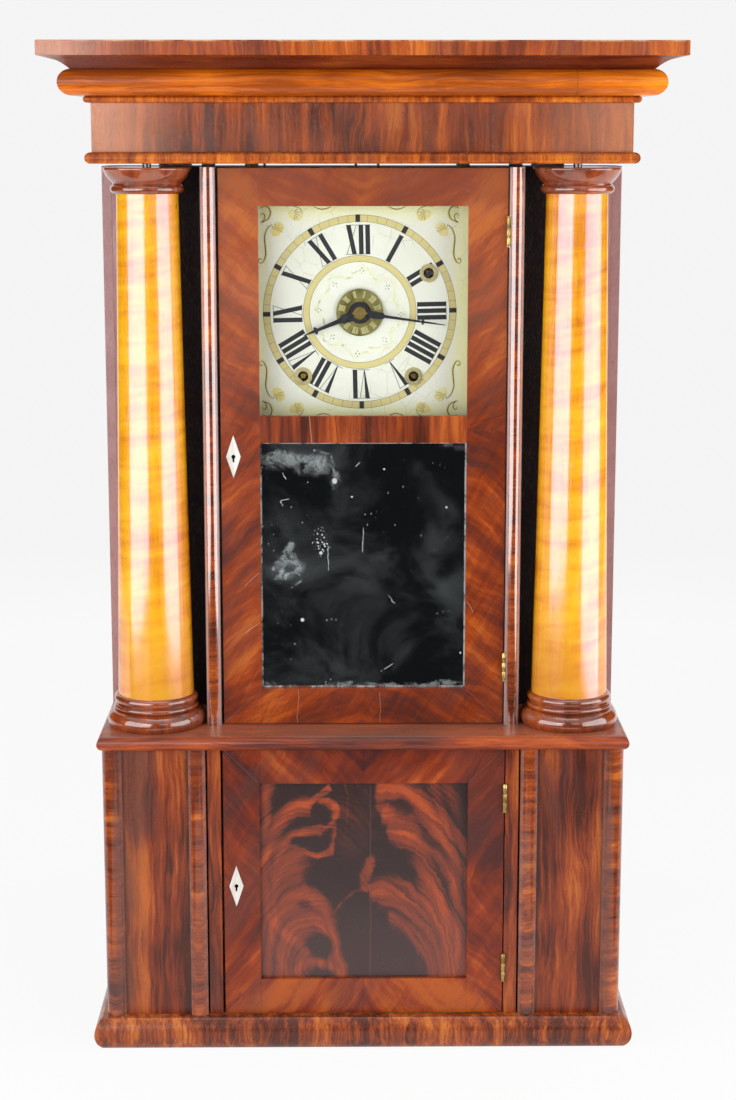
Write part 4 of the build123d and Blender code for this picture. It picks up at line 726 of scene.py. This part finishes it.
def lookingGlass():
    f = Finish("lookingGlass", Metallic=1.0, Roughness=0.04)
    flat = f.place
    bent = f.shift(flat, (f.noise(flat, 130.0, 5.0, 0.75) - 0.5) * 0.006)
    loose = f.shift(bent, (f.noise(flat, 34.0, 4.0, 0.6) - 0.5) * 0.020)
    clouds = [f.blob(loose, *spot, 0.8) for spot in mirrorWear["clouds"]]
    clouds += [f.scratch(bent, *line) for line in mirrorWear["smears"]]
    wear = strongest(clouds) * f.band(f.noise(flat, 62.0, 6.0, 0.72, 1.2), 0.38, 0.76)
    marks = [f.blob(flat, *spot) for spot in mirrorWear["dots"]]
    marks += [f.scratch(bent, *line, 0.5) * 0.7 for line in mirrorWear["scratches"]]
    marks.append(f.blob(loose, *mirrorWear["crumbs"], 0.4) * f.band(f.cells(flat, 420.0), 0.42, 0.25))
    shorter = f.cells(f.stretch(bent, (1, 1, 0.45)), 190.0)
    specks = f.band(shorter, 0.12, 0.05) * f.band(f.noise(flat, 24.0, 2.0), 0.42, 0.62)
    x, y, z = f.split(flat)
    rim = []
    for place, middle, half, soft in zip((x, z), mirrorWear["centre"], mirrorWear["half"], (1.6, 1.8)):
        rim.append(f.band(abs(place - middle * mm), (half - soft) * mm, (half - 0.8) * mm))
    rim = strongest(rim) * f.band(f.noise(flat, 60.0, 4.0, 0.7), 0.35, 0.6)
    haze = f.band(f.noise(flat, 13.0, 5.0, 0.65, 0.5), 0.42, 0.75)
    pale = strongest([strongest(marks) * 0.75, specks * 0.5, rim * 0.7])
    lost = pale.most(wear * 0.8)
    colour = f.mix((wear * 1.2).least(1.0), mirrorWear["silver"], mirrorWear["lost"])
    colour = f.mix(haze * (1 - lost), colour, mirrorWear["haze"])
    colour = f.mix(pale, colour, mirrorWear["pale"])
    rough = f.band(lost.most(haze * 0.3), 0.0, 1.0, (0.05, 0.5))
    return f.feed(Base_Color=colour, Metallic=1 - lost.most(haze * 0.06).least(1.0), Roughness=rough)


def clearGlass():
    # Old glass: mostly seen through, with a faint mirror image and specks of dust.
    f = Finish("clearGlass", Metallic=1.0, Roughness=0.03, Base_Color=(0.9, 0.94, 0.9, 1))
    dust = f.band(f.noise(f.place, 600.0, 2.0), 0.70, 0.8)
    ripple = f.grain(f.place, (14, 14, 5), 2.0)
    return f.feed(Alpha=dust * 0.25 + 0.07, Normal=f.bump(ripple, 0.0004))


def cordFibre():
    f = Finish("cordFibre", Roughness=0.85)
    twist = f.grain(f.turn(f.place, 45), (900, 900, 260), 2.0)
    return f.feed(Base_Color=f.ramp(twist, (0.3, (0.18, 0.12, 0.06)), (0.7, (0.48, 0.38, 0.22))),
                  Normal=f.bump(twist, 0.0002))


finishes.update({
    "crotchPanel": crotchPanel(), "bone": bone(), "dialPaint": dialPaint(), "lookingGlass": lookingGlass(),
    "clearGlass": clearGlass(), "cordFibre": cordFibre(),
})
print("metals, glass and paints made")


# The finish of each CAD piece, and how far its edges are eased, in millimetres

dressed = {
    ("topBoard", 0.8): "cornice_top_board", ("splay", 0.2): "cornice_splay",
    ("bullnose", 0.0): "cornice_bullnose", ("beads", 0.0): "cornice_beads", ("frieze", 0.3): "cornice_frieze",
    ("turned", 0.0): "column_capitals column_bases", ("maple", 0.0): "column_shafts",
    ("backing", 0.3): "column_backings", ("strips", 0.0): "half_rounds", ("box", 0.3): "door_box_walls",
    ("shelf", 0.5): "mid_shelf", ("flanks", 0.3): "lower_front_boards", ("sides", 0.6): "side_boards",
    ("base", 0.0): "base_moulding", ("upperVeneer", 0.8): "upper_door_frame",
    ("lowerVeneer", 0.8): "lower_door_frame", ("crotchPanel", 0.3): "lower_door_panel",
    ("pine", 0.3): "cornice_soffit mirror_backing",
    ("pine", 0.5): "bottom_frame backboard inner_battens case_roof", ("dialPaint", 0.3): "dial_board",
    ("clearGlass", 0.1): "dial_glass", ("lookingGlass", 0.1): "mirror_plate",
    ("bone", 0.15): "upper_escutcheon lower_escutcheon", ("paleBrass", 0.25): "dial_grommets",
    ("alarmBrass", 0.15): "alarm_disc", ("bluedSteel", 0.15): "hour_hand minute_hand",
    ("brass", 0.3): "upper_lock_bolt lower_lock_bolt", ("steel", 0.3): "upper_lock_case lower_lock_case",
    ("brass", 0.2): "centre_arbor time_drum strike_drum alarm_barrel movement_frame",
    ("brass", 0.15): "upper_hinge_leaves lower_hinge_leaves hinge_frame_leaves pendulum",
    ("brass", 0.1): "bell", ("brass", 0.05): "escape_wheel",
    ("steel", 0.1): "verge gong strike_hammer alarm_hammer", ("turned", 0.2): "time_pulley strike_pulley",
    ("cordFibre", 0.0): "time_cord strike_cord time_cord_fall strike_cord_fall",
    ("iron", 1.0): "time_weight strike_weight",
}
easing = {"weld": 0.02, "segments": 2, "angle": 40}


def dress(piece, finish, ease):
    # Welds the piece's facets and eases its edges, then gives it its finish.
    piece.data.materials.clear()
    piece.data.materials.append(finishes[finish].material)
    if ease:
        piece.modifiers.new("weld", "WELD").merge_threshold = easing["weld"] * mm
        bevel = piece.modifiers.new("ease", "BEVEL")
        bevel.width = ease * mm
        bevel.segments = easing["segments"]
        bevel.limit_method = "ANGLE"
        bevel.angle_limit = math.radians(easing["angle"])
        bevel.harden_normals = True


for look, names in dressed.items():
    for name in names.split():
        dress(nodes[name], *look)
print("pieces dressed")


# Meshes

def makePiece(name, body, bm, finish, smooth=False):
    mesh = bpy.data.meshes.new(name)
    bmesh.ops.recalc_face_normals(bm, faces=bm.faces)
    bm.to_mesh(mesh)
    bm.free()
    for face in mesh.polygons:
        face.use_smooth = smooth
    mesh.materials.append(finishes[finish].material)
    piece = bpy.data.objects.new(name, mesh)
    bpy.context.scene.collection.objects.link(piece)
    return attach(piece, body) if body else piece


def slab(bm, outline, back, front):
    # A thin plate: an outline of (x, z) points between two depths along Y.
    rear = [bm.verts.new((x, back, z)) for x, z in outline]
    face = [bm.verts.new((x, front, z)) for x, z in outline]
    bm.faces.new(face)
    bm.faces.new(rear[::-1])
    for i in range(len(outline)):
        j = (i + 1) % len(outline)
        bm.faces.new((face[i], rear[i], rear[j], face[j]))


def around(centre, radius, angle):
    # The place at this distance and angle from a centre.
    return centre[0] + radius * math.cos(angle), centre[1] + radius * math.sin(angle)


def hoop(bm, centre, inner, outer, back, front, steps=120):
    # A flat ring between two radii.
    rings = []
    for radius, y in ((outer, back), (outer, front), (inner, front), (inner, back)):
        circle = [around(centre, radius, 2 * math.pi * i / steps) for i in range(steps)]
        rings.append([bm.verts.new((x, y, z)) for x, z in circle])
    for one, two in zip(rings, rings[1:] + rings[:1]):
        for i in range(steps):
            j = (i + 1) % steps
            bm.faces.new((one[i], one[j], two[j], two[i]))


def smoothLine(points, steps=6):
    # A soft curve through a few points.
    padded = [points[0]] + list(points) + [points[-1]]
    line = []
    for i in range(1, len(padded) - 2):
        p0, p1, p2, p3 = (Vector(p) for p in padded[i - 1:i + 3])
        for k in range(steps):
            t = k / steps
            line.append(0.5 * (2 * p1 + (p2 - p0) * t + (2 * p0 - 5 * p1 + 4 * p2 - p3) * t * t
                               + (3 * p1 - 3 * p2 + p3 - p0) * t * t * t))
    line.append(Vector(points[-1]))
    return line


def brushStroke(line, widest, taper=0.25):
    # The outline of a stroke along a line, thickest in its middle.
    left, right = [], []
    for i, point in enumerate(line):
        ahead = line[min(i + 1, len(line) - 1)] - line[max(i - 1, 0)]
        ahead.normalize()
        share = i / (len(line) - 1)
        half = widest / 2 * (taper + (1 - taper) * math.sin(math.pi * share) ** 0.7)
        side = Vector((-ahead.y, ahead.x)) * half
        left.append(tuple(point + side))
        right.append(tuple(point - side))
    return left + right[::-1]


# The dial's painting

dial = {
    "centre": dialCentre, "turn": -1.2, "film": 0.05,
    "trackOuter": 89.3, "trackWidth": 6.2, "ringOuter": 52.3, "ringWidth": 5.7, "outline": 0.35,
    "tick": 0.28, "block": (4.3, 6.9), "foot": 53.4, "head": 80.0, "stroke": 4.2, "hair": 0.45, "gap": 1.9,
    "numerals": ("I", "II", "III", "IIII", "V", "VI", "VII", "VIII", "IX", "X", "XI", "XII"),
    "widths": {"I": 4.2, "V": 9.4, "X": 9.6},
}
dialX, dialZ = dial["centre"]
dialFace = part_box("dial_board")[0].y


def layer(index):
    # Depths of one film of paint: each lies on the last.
    film = dial["film"] * mm
    return dialFace + 0.2 * film, dialFace - index * film


def onDial(angle, across, radius):
    # A place on the dial: an angle clockwise from the top, and steps across and out, in millimetres.
    turned = math.radians(angle + dial["turn"])
    x = dialX + radius * math.sin(turned) + across * math.cos(turned)
    z = dialZ + radius * math.cos(turned) - across * math.sin(turned)
    return x * mm, z * mm


def patch(bm, place, angle, across, out, depths):
    # A small block, between two places across and two out from the centre.
    corners = ((across[0], out[0]), (across[1], out[0]), (across[1], out[1]), (across[0], out[1]))
    slab(bm, [place(angle, *corner) for corner in corners], *depths)


def numeralStrokes(text, sizes):
    # Strokes as (head across, foot across, head width, foot width), from left to right.
    stroke, hair, gap, widths = (sizes[key] for key in ("stroke", "hair", "gap", "widths"))
    total = sum(widths[letter] for letter in text) + gap * (len(text) - 1)
    start = -total / 2
    strokes = []
    for letter in text:
        wide = widths[letter]
        middle = start + wide / 2
        left = start + stroke / 2
        right = start + wide - hair / 2
        if letter == "I":
            strokes.append((middle, middle, stroke, stroke))
        elif letter == "V":
            strokes += [(left, middle, stroke, hair * 1.6), (right, middle, hair, hair)]
        else:
            strokes += [(left, right - stroke / 2, stroke, stroke), (right, start + hair / 2, hair, hair)]
        start += wide + gap
    return strokes, total


def drawNumerals(bm, sizes, place, depths):
    back, front = depths
    thick = sizes["hair"] / 2
    for hour, text in enumerate(sizes["numerals"], 1):
        strokes, total = numeralStrokes(text, sizes)
        for count, (head, foot, headWide, footWide) in enumerate(strokes):
            corners = ((head - headWide / 2, sizes["head"]), (head + headWide / 2, sizes["head"]),
                       (foot + footWide / 2, sizes["foot"]), (foot - footWide / 2, sizes["foot"]))
            slab(bm, [place(hour * 30, *corner) for corner in corners], back, front - count * 0.004 * mm)
        reach = total / 2 + sizes["hair"]
        for radius in (sizes["head"], sizes["foot"]):
            patch(bm, place, hour * 30, (-reach, reach), (radius - thick, radius + thick),
                  (back, front + 0.01 * mm))


def paintTracks():
    centre = (dialX * mm, dialZ * mm)
    gold, lines, black = (bmesh.new() for _ in range(3))
    half = dial["outline"] / 2
    for outer, wide in ((dial["trackOuter"], dial["trackWidth"]), (dial["ringOuter"], dial["ringWidth"])):
        hoop(gold, centre, (outer - wide) * mm, outer * mm, *layer(1))
        for edge in (outer, outer - wide):
            hoop(lines, centre, (edge - half) * mm, (edge + half) * mm, *layer(2))
    makePiece("dialTracks", "case", gold, "yellowPaint")
    low, high = dial["trackOuter"] - dial["trackWidth"], dial["trackOuter"]
    half = dial["tick"] / 2
    for minute in range(60):
        patch(lines, onDial, minute * 6, (-half, half), (low, high), layer(3))
    makePiece("dialLines", "case", lines, "linePaint")

    middle = (low + high) / 2
    wide, long = (size / 2 for size in dial["block"])
    for hour in range(12):
        patch(black, onDial, hour * 30, (-wide, wide), (middle - long, middle + long), layer(4))
    drawNumerals(black, dial, onDial, layer(2))
    makePiece("dialNumerals", "case", black, "blackPaint")


paintTracks()


# Scrolls and leaves in the dial's corners: places from its centre, for the upper left corner

cornerWork = {
    "lines": (
        (((-91.4, 95.0), (-88.2, 97.2), (-84.0, 96.0), (-82.0, 91.2), (-84.4, 85.4), (-91.2, 82.4)), 1.0),
        (((-91.2, 82.4), (-88.0, 84.6), (-87.2, 88.6), (-89.6, 90.6), (-91.0, 88.2)), 0.7),
        (((-80.5, 80.6), (-84.8, 77.0), (-87.6, 69.0), (-87.0, 60.0), (-86.8, 52.5), (-89.4, 46.4),
          (-92.4, 45.0)), 1.0),
        (((-92.4, 45.0), (-93.4, 48.0), (-91.6, 49.6), (-90.4, 48.2)), 0.7),
        (((-43.5, 97.6), (-39.0, 95.4), (-34.0, 94.4), (-29.0, 95.6), (-25.4, 98.0)), 0.8),
        (((-68.4, 96.6), (-62.0, 97.4), (-55.0, 95.0), (-52.6, 89.6)), 0.6),
    ),
    "leaves": (((-60.4, 90.0), 6.4, -20.0), ((-77.0, 75.0), 6.8, 55.0)),
    "fill": ((-88.0, 90.2), 6.2), "hatch": 46,
}


def leafOutline(centre, radius, degrees, lobes=5):
    # A shell of rounded lobes with a curled foot.
    outline = []
    for i in range(48):
        angle = 2 * math.pi * i / 48
        wave = 1 + 0.24 * math.cos(angle) + 0.10 * abs(math.sin(angle * lobes / 2)) - 0.10 * math.sin(angle)
        out = radius * wave * (0.82 + 0.18 * math.cos(2 * angle))
        turned = angle + math.radians(degrees)
        outline.append(around(centre, out, turned))
    return outline


def paintCorners():
    draw = random.Random(12)
    fills, gold, lines, hatch = (bmesh.new() for _ in range(4))
    for signX in (-1, 1):
        for signZ in (-1, 1):
            def put(bm, points, level, lift=0.0):
                back, front = layer(level)
                outline = [((dialX - signX * x) * mm, (dialZ + signZ * z) * mm) for x, z in points]
                slab(bm, outline, back, front - lift * mm)

            for points, wide in cornerWork["lines"]:
                put(lines, brushStroke(smoothLine(points), wide), 3)
                beside = [(x + 0.9, z - 0.5) for x, z in points]
                put(gold, brushStroke(smoothLine(beside), wide * 1.5), 2)
            for centre, radius, degrees in cornerWork["leaves"]:
                put(gold, leafOutline(centre, radius, degrees), 2, 0.01)
                for vein in range(5):
                    angle = math.radians(degrees - 70 + 35 * vein)
                    line = [around(centre, share * radius, angle + bend)
                            for share, bend in ((0.15, 0.0), (0.6, 0.2), (0.95, 0.0))]
                    put(lines, brushStroke(smoothLine(line), 0.45), 4)
            centre, radius = cornerWork["fill"]
            put(fills, leafOutline(centre, radius, 30.0, 3), 1)
            for _ in range(cornerWork["hatch"]):
                x, z = draw.uniform(-91, -50), draw.uniform(52, 96)
                if math.hypot(x, z) > 92:
                    slant = draw.uniform(-0.5, 0.5)
                    long = draw.uniform(2, 6)
                    end = (x + slant * long, z - long)
                    if math.hypot(*end) > 91:
                        put(hatch, brushStroke(smoothLine(((x, z), end), 3), 0.5), 1)
    makePiece("cornerGround", "case", fills, "palePaint")
    makePiece("cornerHatch", "case", hatch, "palePaint")
    makePiece("cornerGilding", "case", gold, "goldPaint")
    makePiece("cornerLines", "case", lines, "olivePaint")


paintCorners()


# The faint wreath inside the inner ring

wreath = {"near": 31.0, "far": 41.5, "sprays": 16, "leaf": 4.2, "dots": 8, "dot": 0.62}


def paintWreath():
    draw = random.Random(5)
    leaves, pink, green = (bmesh.new() for _ in range(3))
    for spray in range(wreath["sprays"]):
        middle = 360 / wreath["sprays"] * (spray + 0.5)
        for step in range(6):
            angle = middle + (step - 2.5) * 3.4
            sway = 0.5 + 0.38 * math.sin(math.radians(angle * 8 + 40)) + draw.uniform(-0.16, 0.16)
            out = wreath["near"] + (wreath["far"] - wreath["near"]) * sway
            for side in (-1, 1):
                tip = (side * wreath["leaf"] * 0.7, out + wreath["leaf"] * draw.uniform(0.1, 0.8))
                bend = (side * wreath["leaf"] * 0.2, out + wreath["leaf"] * 0.5)
                line = [onDial(angle, *place) for place in ((0, out), bend, tip)]
                slab(leaves, brushStroke(smoothLine(line, 4), 0.7 * mm), *layer(1))
    for group in range(wreath["dots"]):
        angle = 360 / wreath["dots"] * group + 4
        out = wreath["near"] + (4 if group % 2 else 8)
        for count, (across, up) in enumerate(((0, 1.6), (-1.6, -0.6), (1.6, -0.8), (0.2, -3.0))):
            centre = onDial(angle, across, out + up)
            radius = wreath["dot"] * draw.uniform(0.7, 1.2) * mm
            outline = [around(centre, radius, math.pi * i / 4) for i in range(8)]
            slab(pink if count % 2 else green, outline, *layer(2))
    makePiece("wreathLeaves", "case", leaves, "palePaint")
    makePiece("wreathBuds", "case", pink, "pinkPaint")
    makePiece("wreathBerries", "case", green, "greenPaint")


paintWreath()


# The alarm disc's own figures

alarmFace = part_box("alarm_disc")[0].y
alarm = {
    "turn": 15.0, "foot": 14.2, "head": 19.6, "stroke": 0.85, "hair": 0.4, "gap": 0.5,
    "numerals": dial["numerals"][::-1], "widths": {"I": 0.85, "V": 2.2, "X": 2.3},
}


def onAlarm(angle, across, radius):
    return onDial(angle + alarm["turn"], across, radius)


figures = bmesh.new()
drawNumerals(figures, alarm, onAlarm, (alarmFace + 0.01 * mm, alarmFace - 0.06 * mm))
makePiece("alarmFigures", "alarm_set", figures, "discFigure")
print("dial painted")


# Cords that carry the weights: three strands twisted along the fall

cordFall = {"strand": 0.72, "twist": 0.62, "lay": 7.5, "steps": 96, "sides": 8}


def cordFalls():
    strand, twist, lay = (cordFall[key] * mm for key in ("strand", "twist", "lay"))
    steps, sides = cordFall["steps"], cordFall["sides"]
    for name in ("time", "strike"):
        low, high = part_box(name + "_cord_fall")
        middle = (low + high) / 2
        bm = bmesh.new()
        for start in range(3):
            rings = []
            for i in range(steps + 1):
                z = low.z + (high.z - low.z) * i / steps
                centre = around(middle, twist, 2 * math.pi * ((z - low.z) / lay + start / 3))
                circle = [around(centre, strand, 2 * math.pi * s / sides) for s in range(sides)]
                rings.append([bm.verts.new((x, y, z)) for x, y in circle])
            for one, two in zip(rings, rings[1:]):
                for s in range(sides):
                    t = (s + 1) % sides
                    bm.faces.new((one[s], one[t], two[t], two[s]))
            bm.faces.new(rings[0][::-1])
            bm.faces.new(rings[-1])
        piece = makePiece(name + "CordFall", None, bm, "cordFibre", True)
        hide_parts(name + "_cord_fall")
        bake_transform(piece)


cordFalls()
print("cords twisted")


# Stage: places in metres, and the floor's fades by distance from the clock

stage = {
    "focalPixels": 2196.0, "imageHeight": 1100, "sensor": 36.0, "pitch": 10.75, "yaw": 0.56,
    "camera": (-0.0147, -2.0368, 0.8542), "sky": 0.91, "skyLight": 0.22,
    "floorHalf": 80.0, "floorColour": (0.9, 0.9, 0.9, 1), "floorShare": 0.9,
    "fade": (0.6, 2.6), "keep": (0.5, 1.8),
}
cards = {
    "wide": 2.3, "deep": -2.7, "tall": 2.2, "back": 2.6, "black": (0.008, 0.009, 0.010),
    "below": (1.2, -0.8, 0.002), "floor": (0.42, -0.22, 0.003),
    "windows": {"left": (-1.4, -0.36, 2.6), "right": (0.27, 1.1, 1.6)}, "glowCardPlace": (-2.25, 0.845, 1.6),
}
panels = {
    "left": {"near": (-0.56, -2.2), "far": (-1.60, -0.43), "low": 0.12, "high": 1.25, "power": 30.0},
    "right": {"near": (1.13, -1.78), "far": (1.6, 0.07), "low": 0.02, "high": 1.25, "power": 29.0},
}
topLight = {"place": (0, -0.6, 2.5), "target": (0, 0, 0.5), "size": (1.6, 1.2), "power": 9}


def area(name, place, target, size, power):
    lamp = bpy.data.lights.new(name, "AREA")
    lamp.shape = "RECTANGLE"
    lamp.size, lamp.size_y = size
    lamp.energy = power
    holder = bpy.data.objects.new(name, lamp)
    bpy.context.scene.collection.objects.link(holder)
    holder.location = place
    holder.rotation_euler = (Vector(target) - Vector(place)).to_track_quat("-Z", "Y").to_euler()


def softbox(name, values):
    # A tall panel of light standing between two places on the floor, facing the clock.
    near, far = Vector(values["near"]), Vector(values["far"])
    middle = (near + far) / 2
    along = far - near
    facing = Vector((-along.y, along.x))
    facing = facing if facing.dot(-middle) > 0 else -facing
    height = (values["low"] + values["high"]) / 2
    area(name, (*middle, height), (*(middle + facing), height),
         (along.length, values["high"] - values["low"]), values["power"])


def seesWhite(graph):
    # 1 for camera, glossy and transmission rays, which see a white studio.
    names = ("Is Camera Ray", "Is Glossy Ray", "Is Transmission Ray")
    camera, glossy, through = graph.node("LightPath", out=names)
    return (camera + glossy + through).least(1.0)


def quad(name, corners, finish):
    mesh = bpy.data.meshes.new(name)
    mesh.from_pydata(corners, [], [(0, 1, 2, 3)])
    mesh.materials.append(finish.material)
    piece = bpy.data.objects.new(name, mesh)
    bpy.context.scene.collection.objects.link(piece)
    return piece


def lyingFlat(left, right, near, far, height):
    return [(left, near, height), (right, near, height), (right, far, height), (left, far, height)]


def card(name, corners, glow):
    # A card that only reflections see: black, or a pale glowing one that is no lamp and lights nothing, a
    # painted reflection.
    finish = Finish(name, Base_Color=(0, 0, 0, 1), Specular_IOR_Level=0.0,
                    Emission_Color=(*(c / max(glow) for c in glow), 1), Emission_Strength=max(glow))
    sheet = quad(name, corners, finish)
    for kind in ("camera", "diffuse", "shadow", "transmission", "volume_scatter"):
        setattr(sheet, "visible_" + kind, False)


def makeCards():
    wide, deep, tall, back, black = (cards[key] for key in ("wide", "deep", "tall", "back", "black"))
    card("cardBehind", [(-wide, deep, 0), (wide, deep, 0), (wide, deep, tall), (-wide, deep, tall)], black)
    half, near, height = cards["below"]
    card("cardBelow", lyingFlat(-half, half, near, deep, height), black)
    inner, near, height = cards["floor"]
    card("cardFloorLeft", lyingFlat(-wide, -inner, near, deep, height), black)
    card("cardFloorRight", lyingFlat(inner, wide, near, deep, height), black)
    for name, x in (("cardLeft", -wide), ("cardRight", wide)):
        card(name, [(x, deep, 0), (x, back, 0), (x, back, tall), (x, deep, tall)], black)
    # Glowing cards that are no lamps and light nothing: they paint reflections on the cornice.
    deep, low, high = cards["glowCardPlace"]
    for name, (left, right, glow) in cards["windows"].items():
        corners = [(left, deep, low), (right, deep, low), (right, deep, high), (left, deep, high)]
        card("window" + name, corners, (glow, glow, glow))


def makeWorld():
    world = bpy.data.worlds.new("studio")
    world.use_nodes = True
    bpy.context.scene.world = world
    graph = Graph(world.node_tree)
    background = graph.tree.nodes["Background"]
    background.inputs["Color"].default_value = (1, 1, 1, 1)
    strength = graph.node("MapRange", None, {0: seesWhite(graph), 3: stage["skyLight"], 4: stage["sky"]})
    graph.fill(background.inputs["Strength"], strength)


def makeFloor():
    half = stage["floorHalf"]
    f = Finish("floorPaint", Base_Color=stage["floorColour"], Roughness=0.8)
    floor = quad("floor", lyingFlat(-half, half, -half, half, 0), f)
    distance = f.length(f.place)
    fade, keep = (f.node("MapRange", None, {0: distance, 1: near, 2: far, 3: low, 4: high})
                  for (near, far), low, high in ((stage["fade"], 1.0, stage["sky"]),
                                                 (stage["keep"], stage["floorShare"], 1.0)))
    glow = f.node("Emission", None, {"Strength": fade})
    painted = Wire(f, f.shader.outputs[0])
    blend = f.node("MixShader", None, {0: seesWhite(f) * keep, 1: painted, 2: glow})
    f.fill(f.tree.nodes["Material Output"].inputs["Surface"], blend)


def makeCamera():
    camera = bpy.data.cameras.new("camera")
    camera.lens = stage["focalPixels"] / stage["imageHeight"] * stage["sensor"]
    camera.sensor_width = stage["sensor"]
    holder = bpy.data.objects.new("camera", camera)
    bpy.context.scene.collection.objects.link(holder)
    holder.location = stage["camera"]
    holder.rotation_euler = (math.radians(90 - stage["pitch"]), 0, math.radians(-stage["yaw"]))
    bpy.context.scene.camera = holder


bpy.context.scene.view_settings.view_transform = "Standard"
makeWorld()
makeFloor()
makeCards()
for name, values in panels.items():
    softbox(name, values)
area("top", *topLight.values())
makeCamera()
print("stage set")
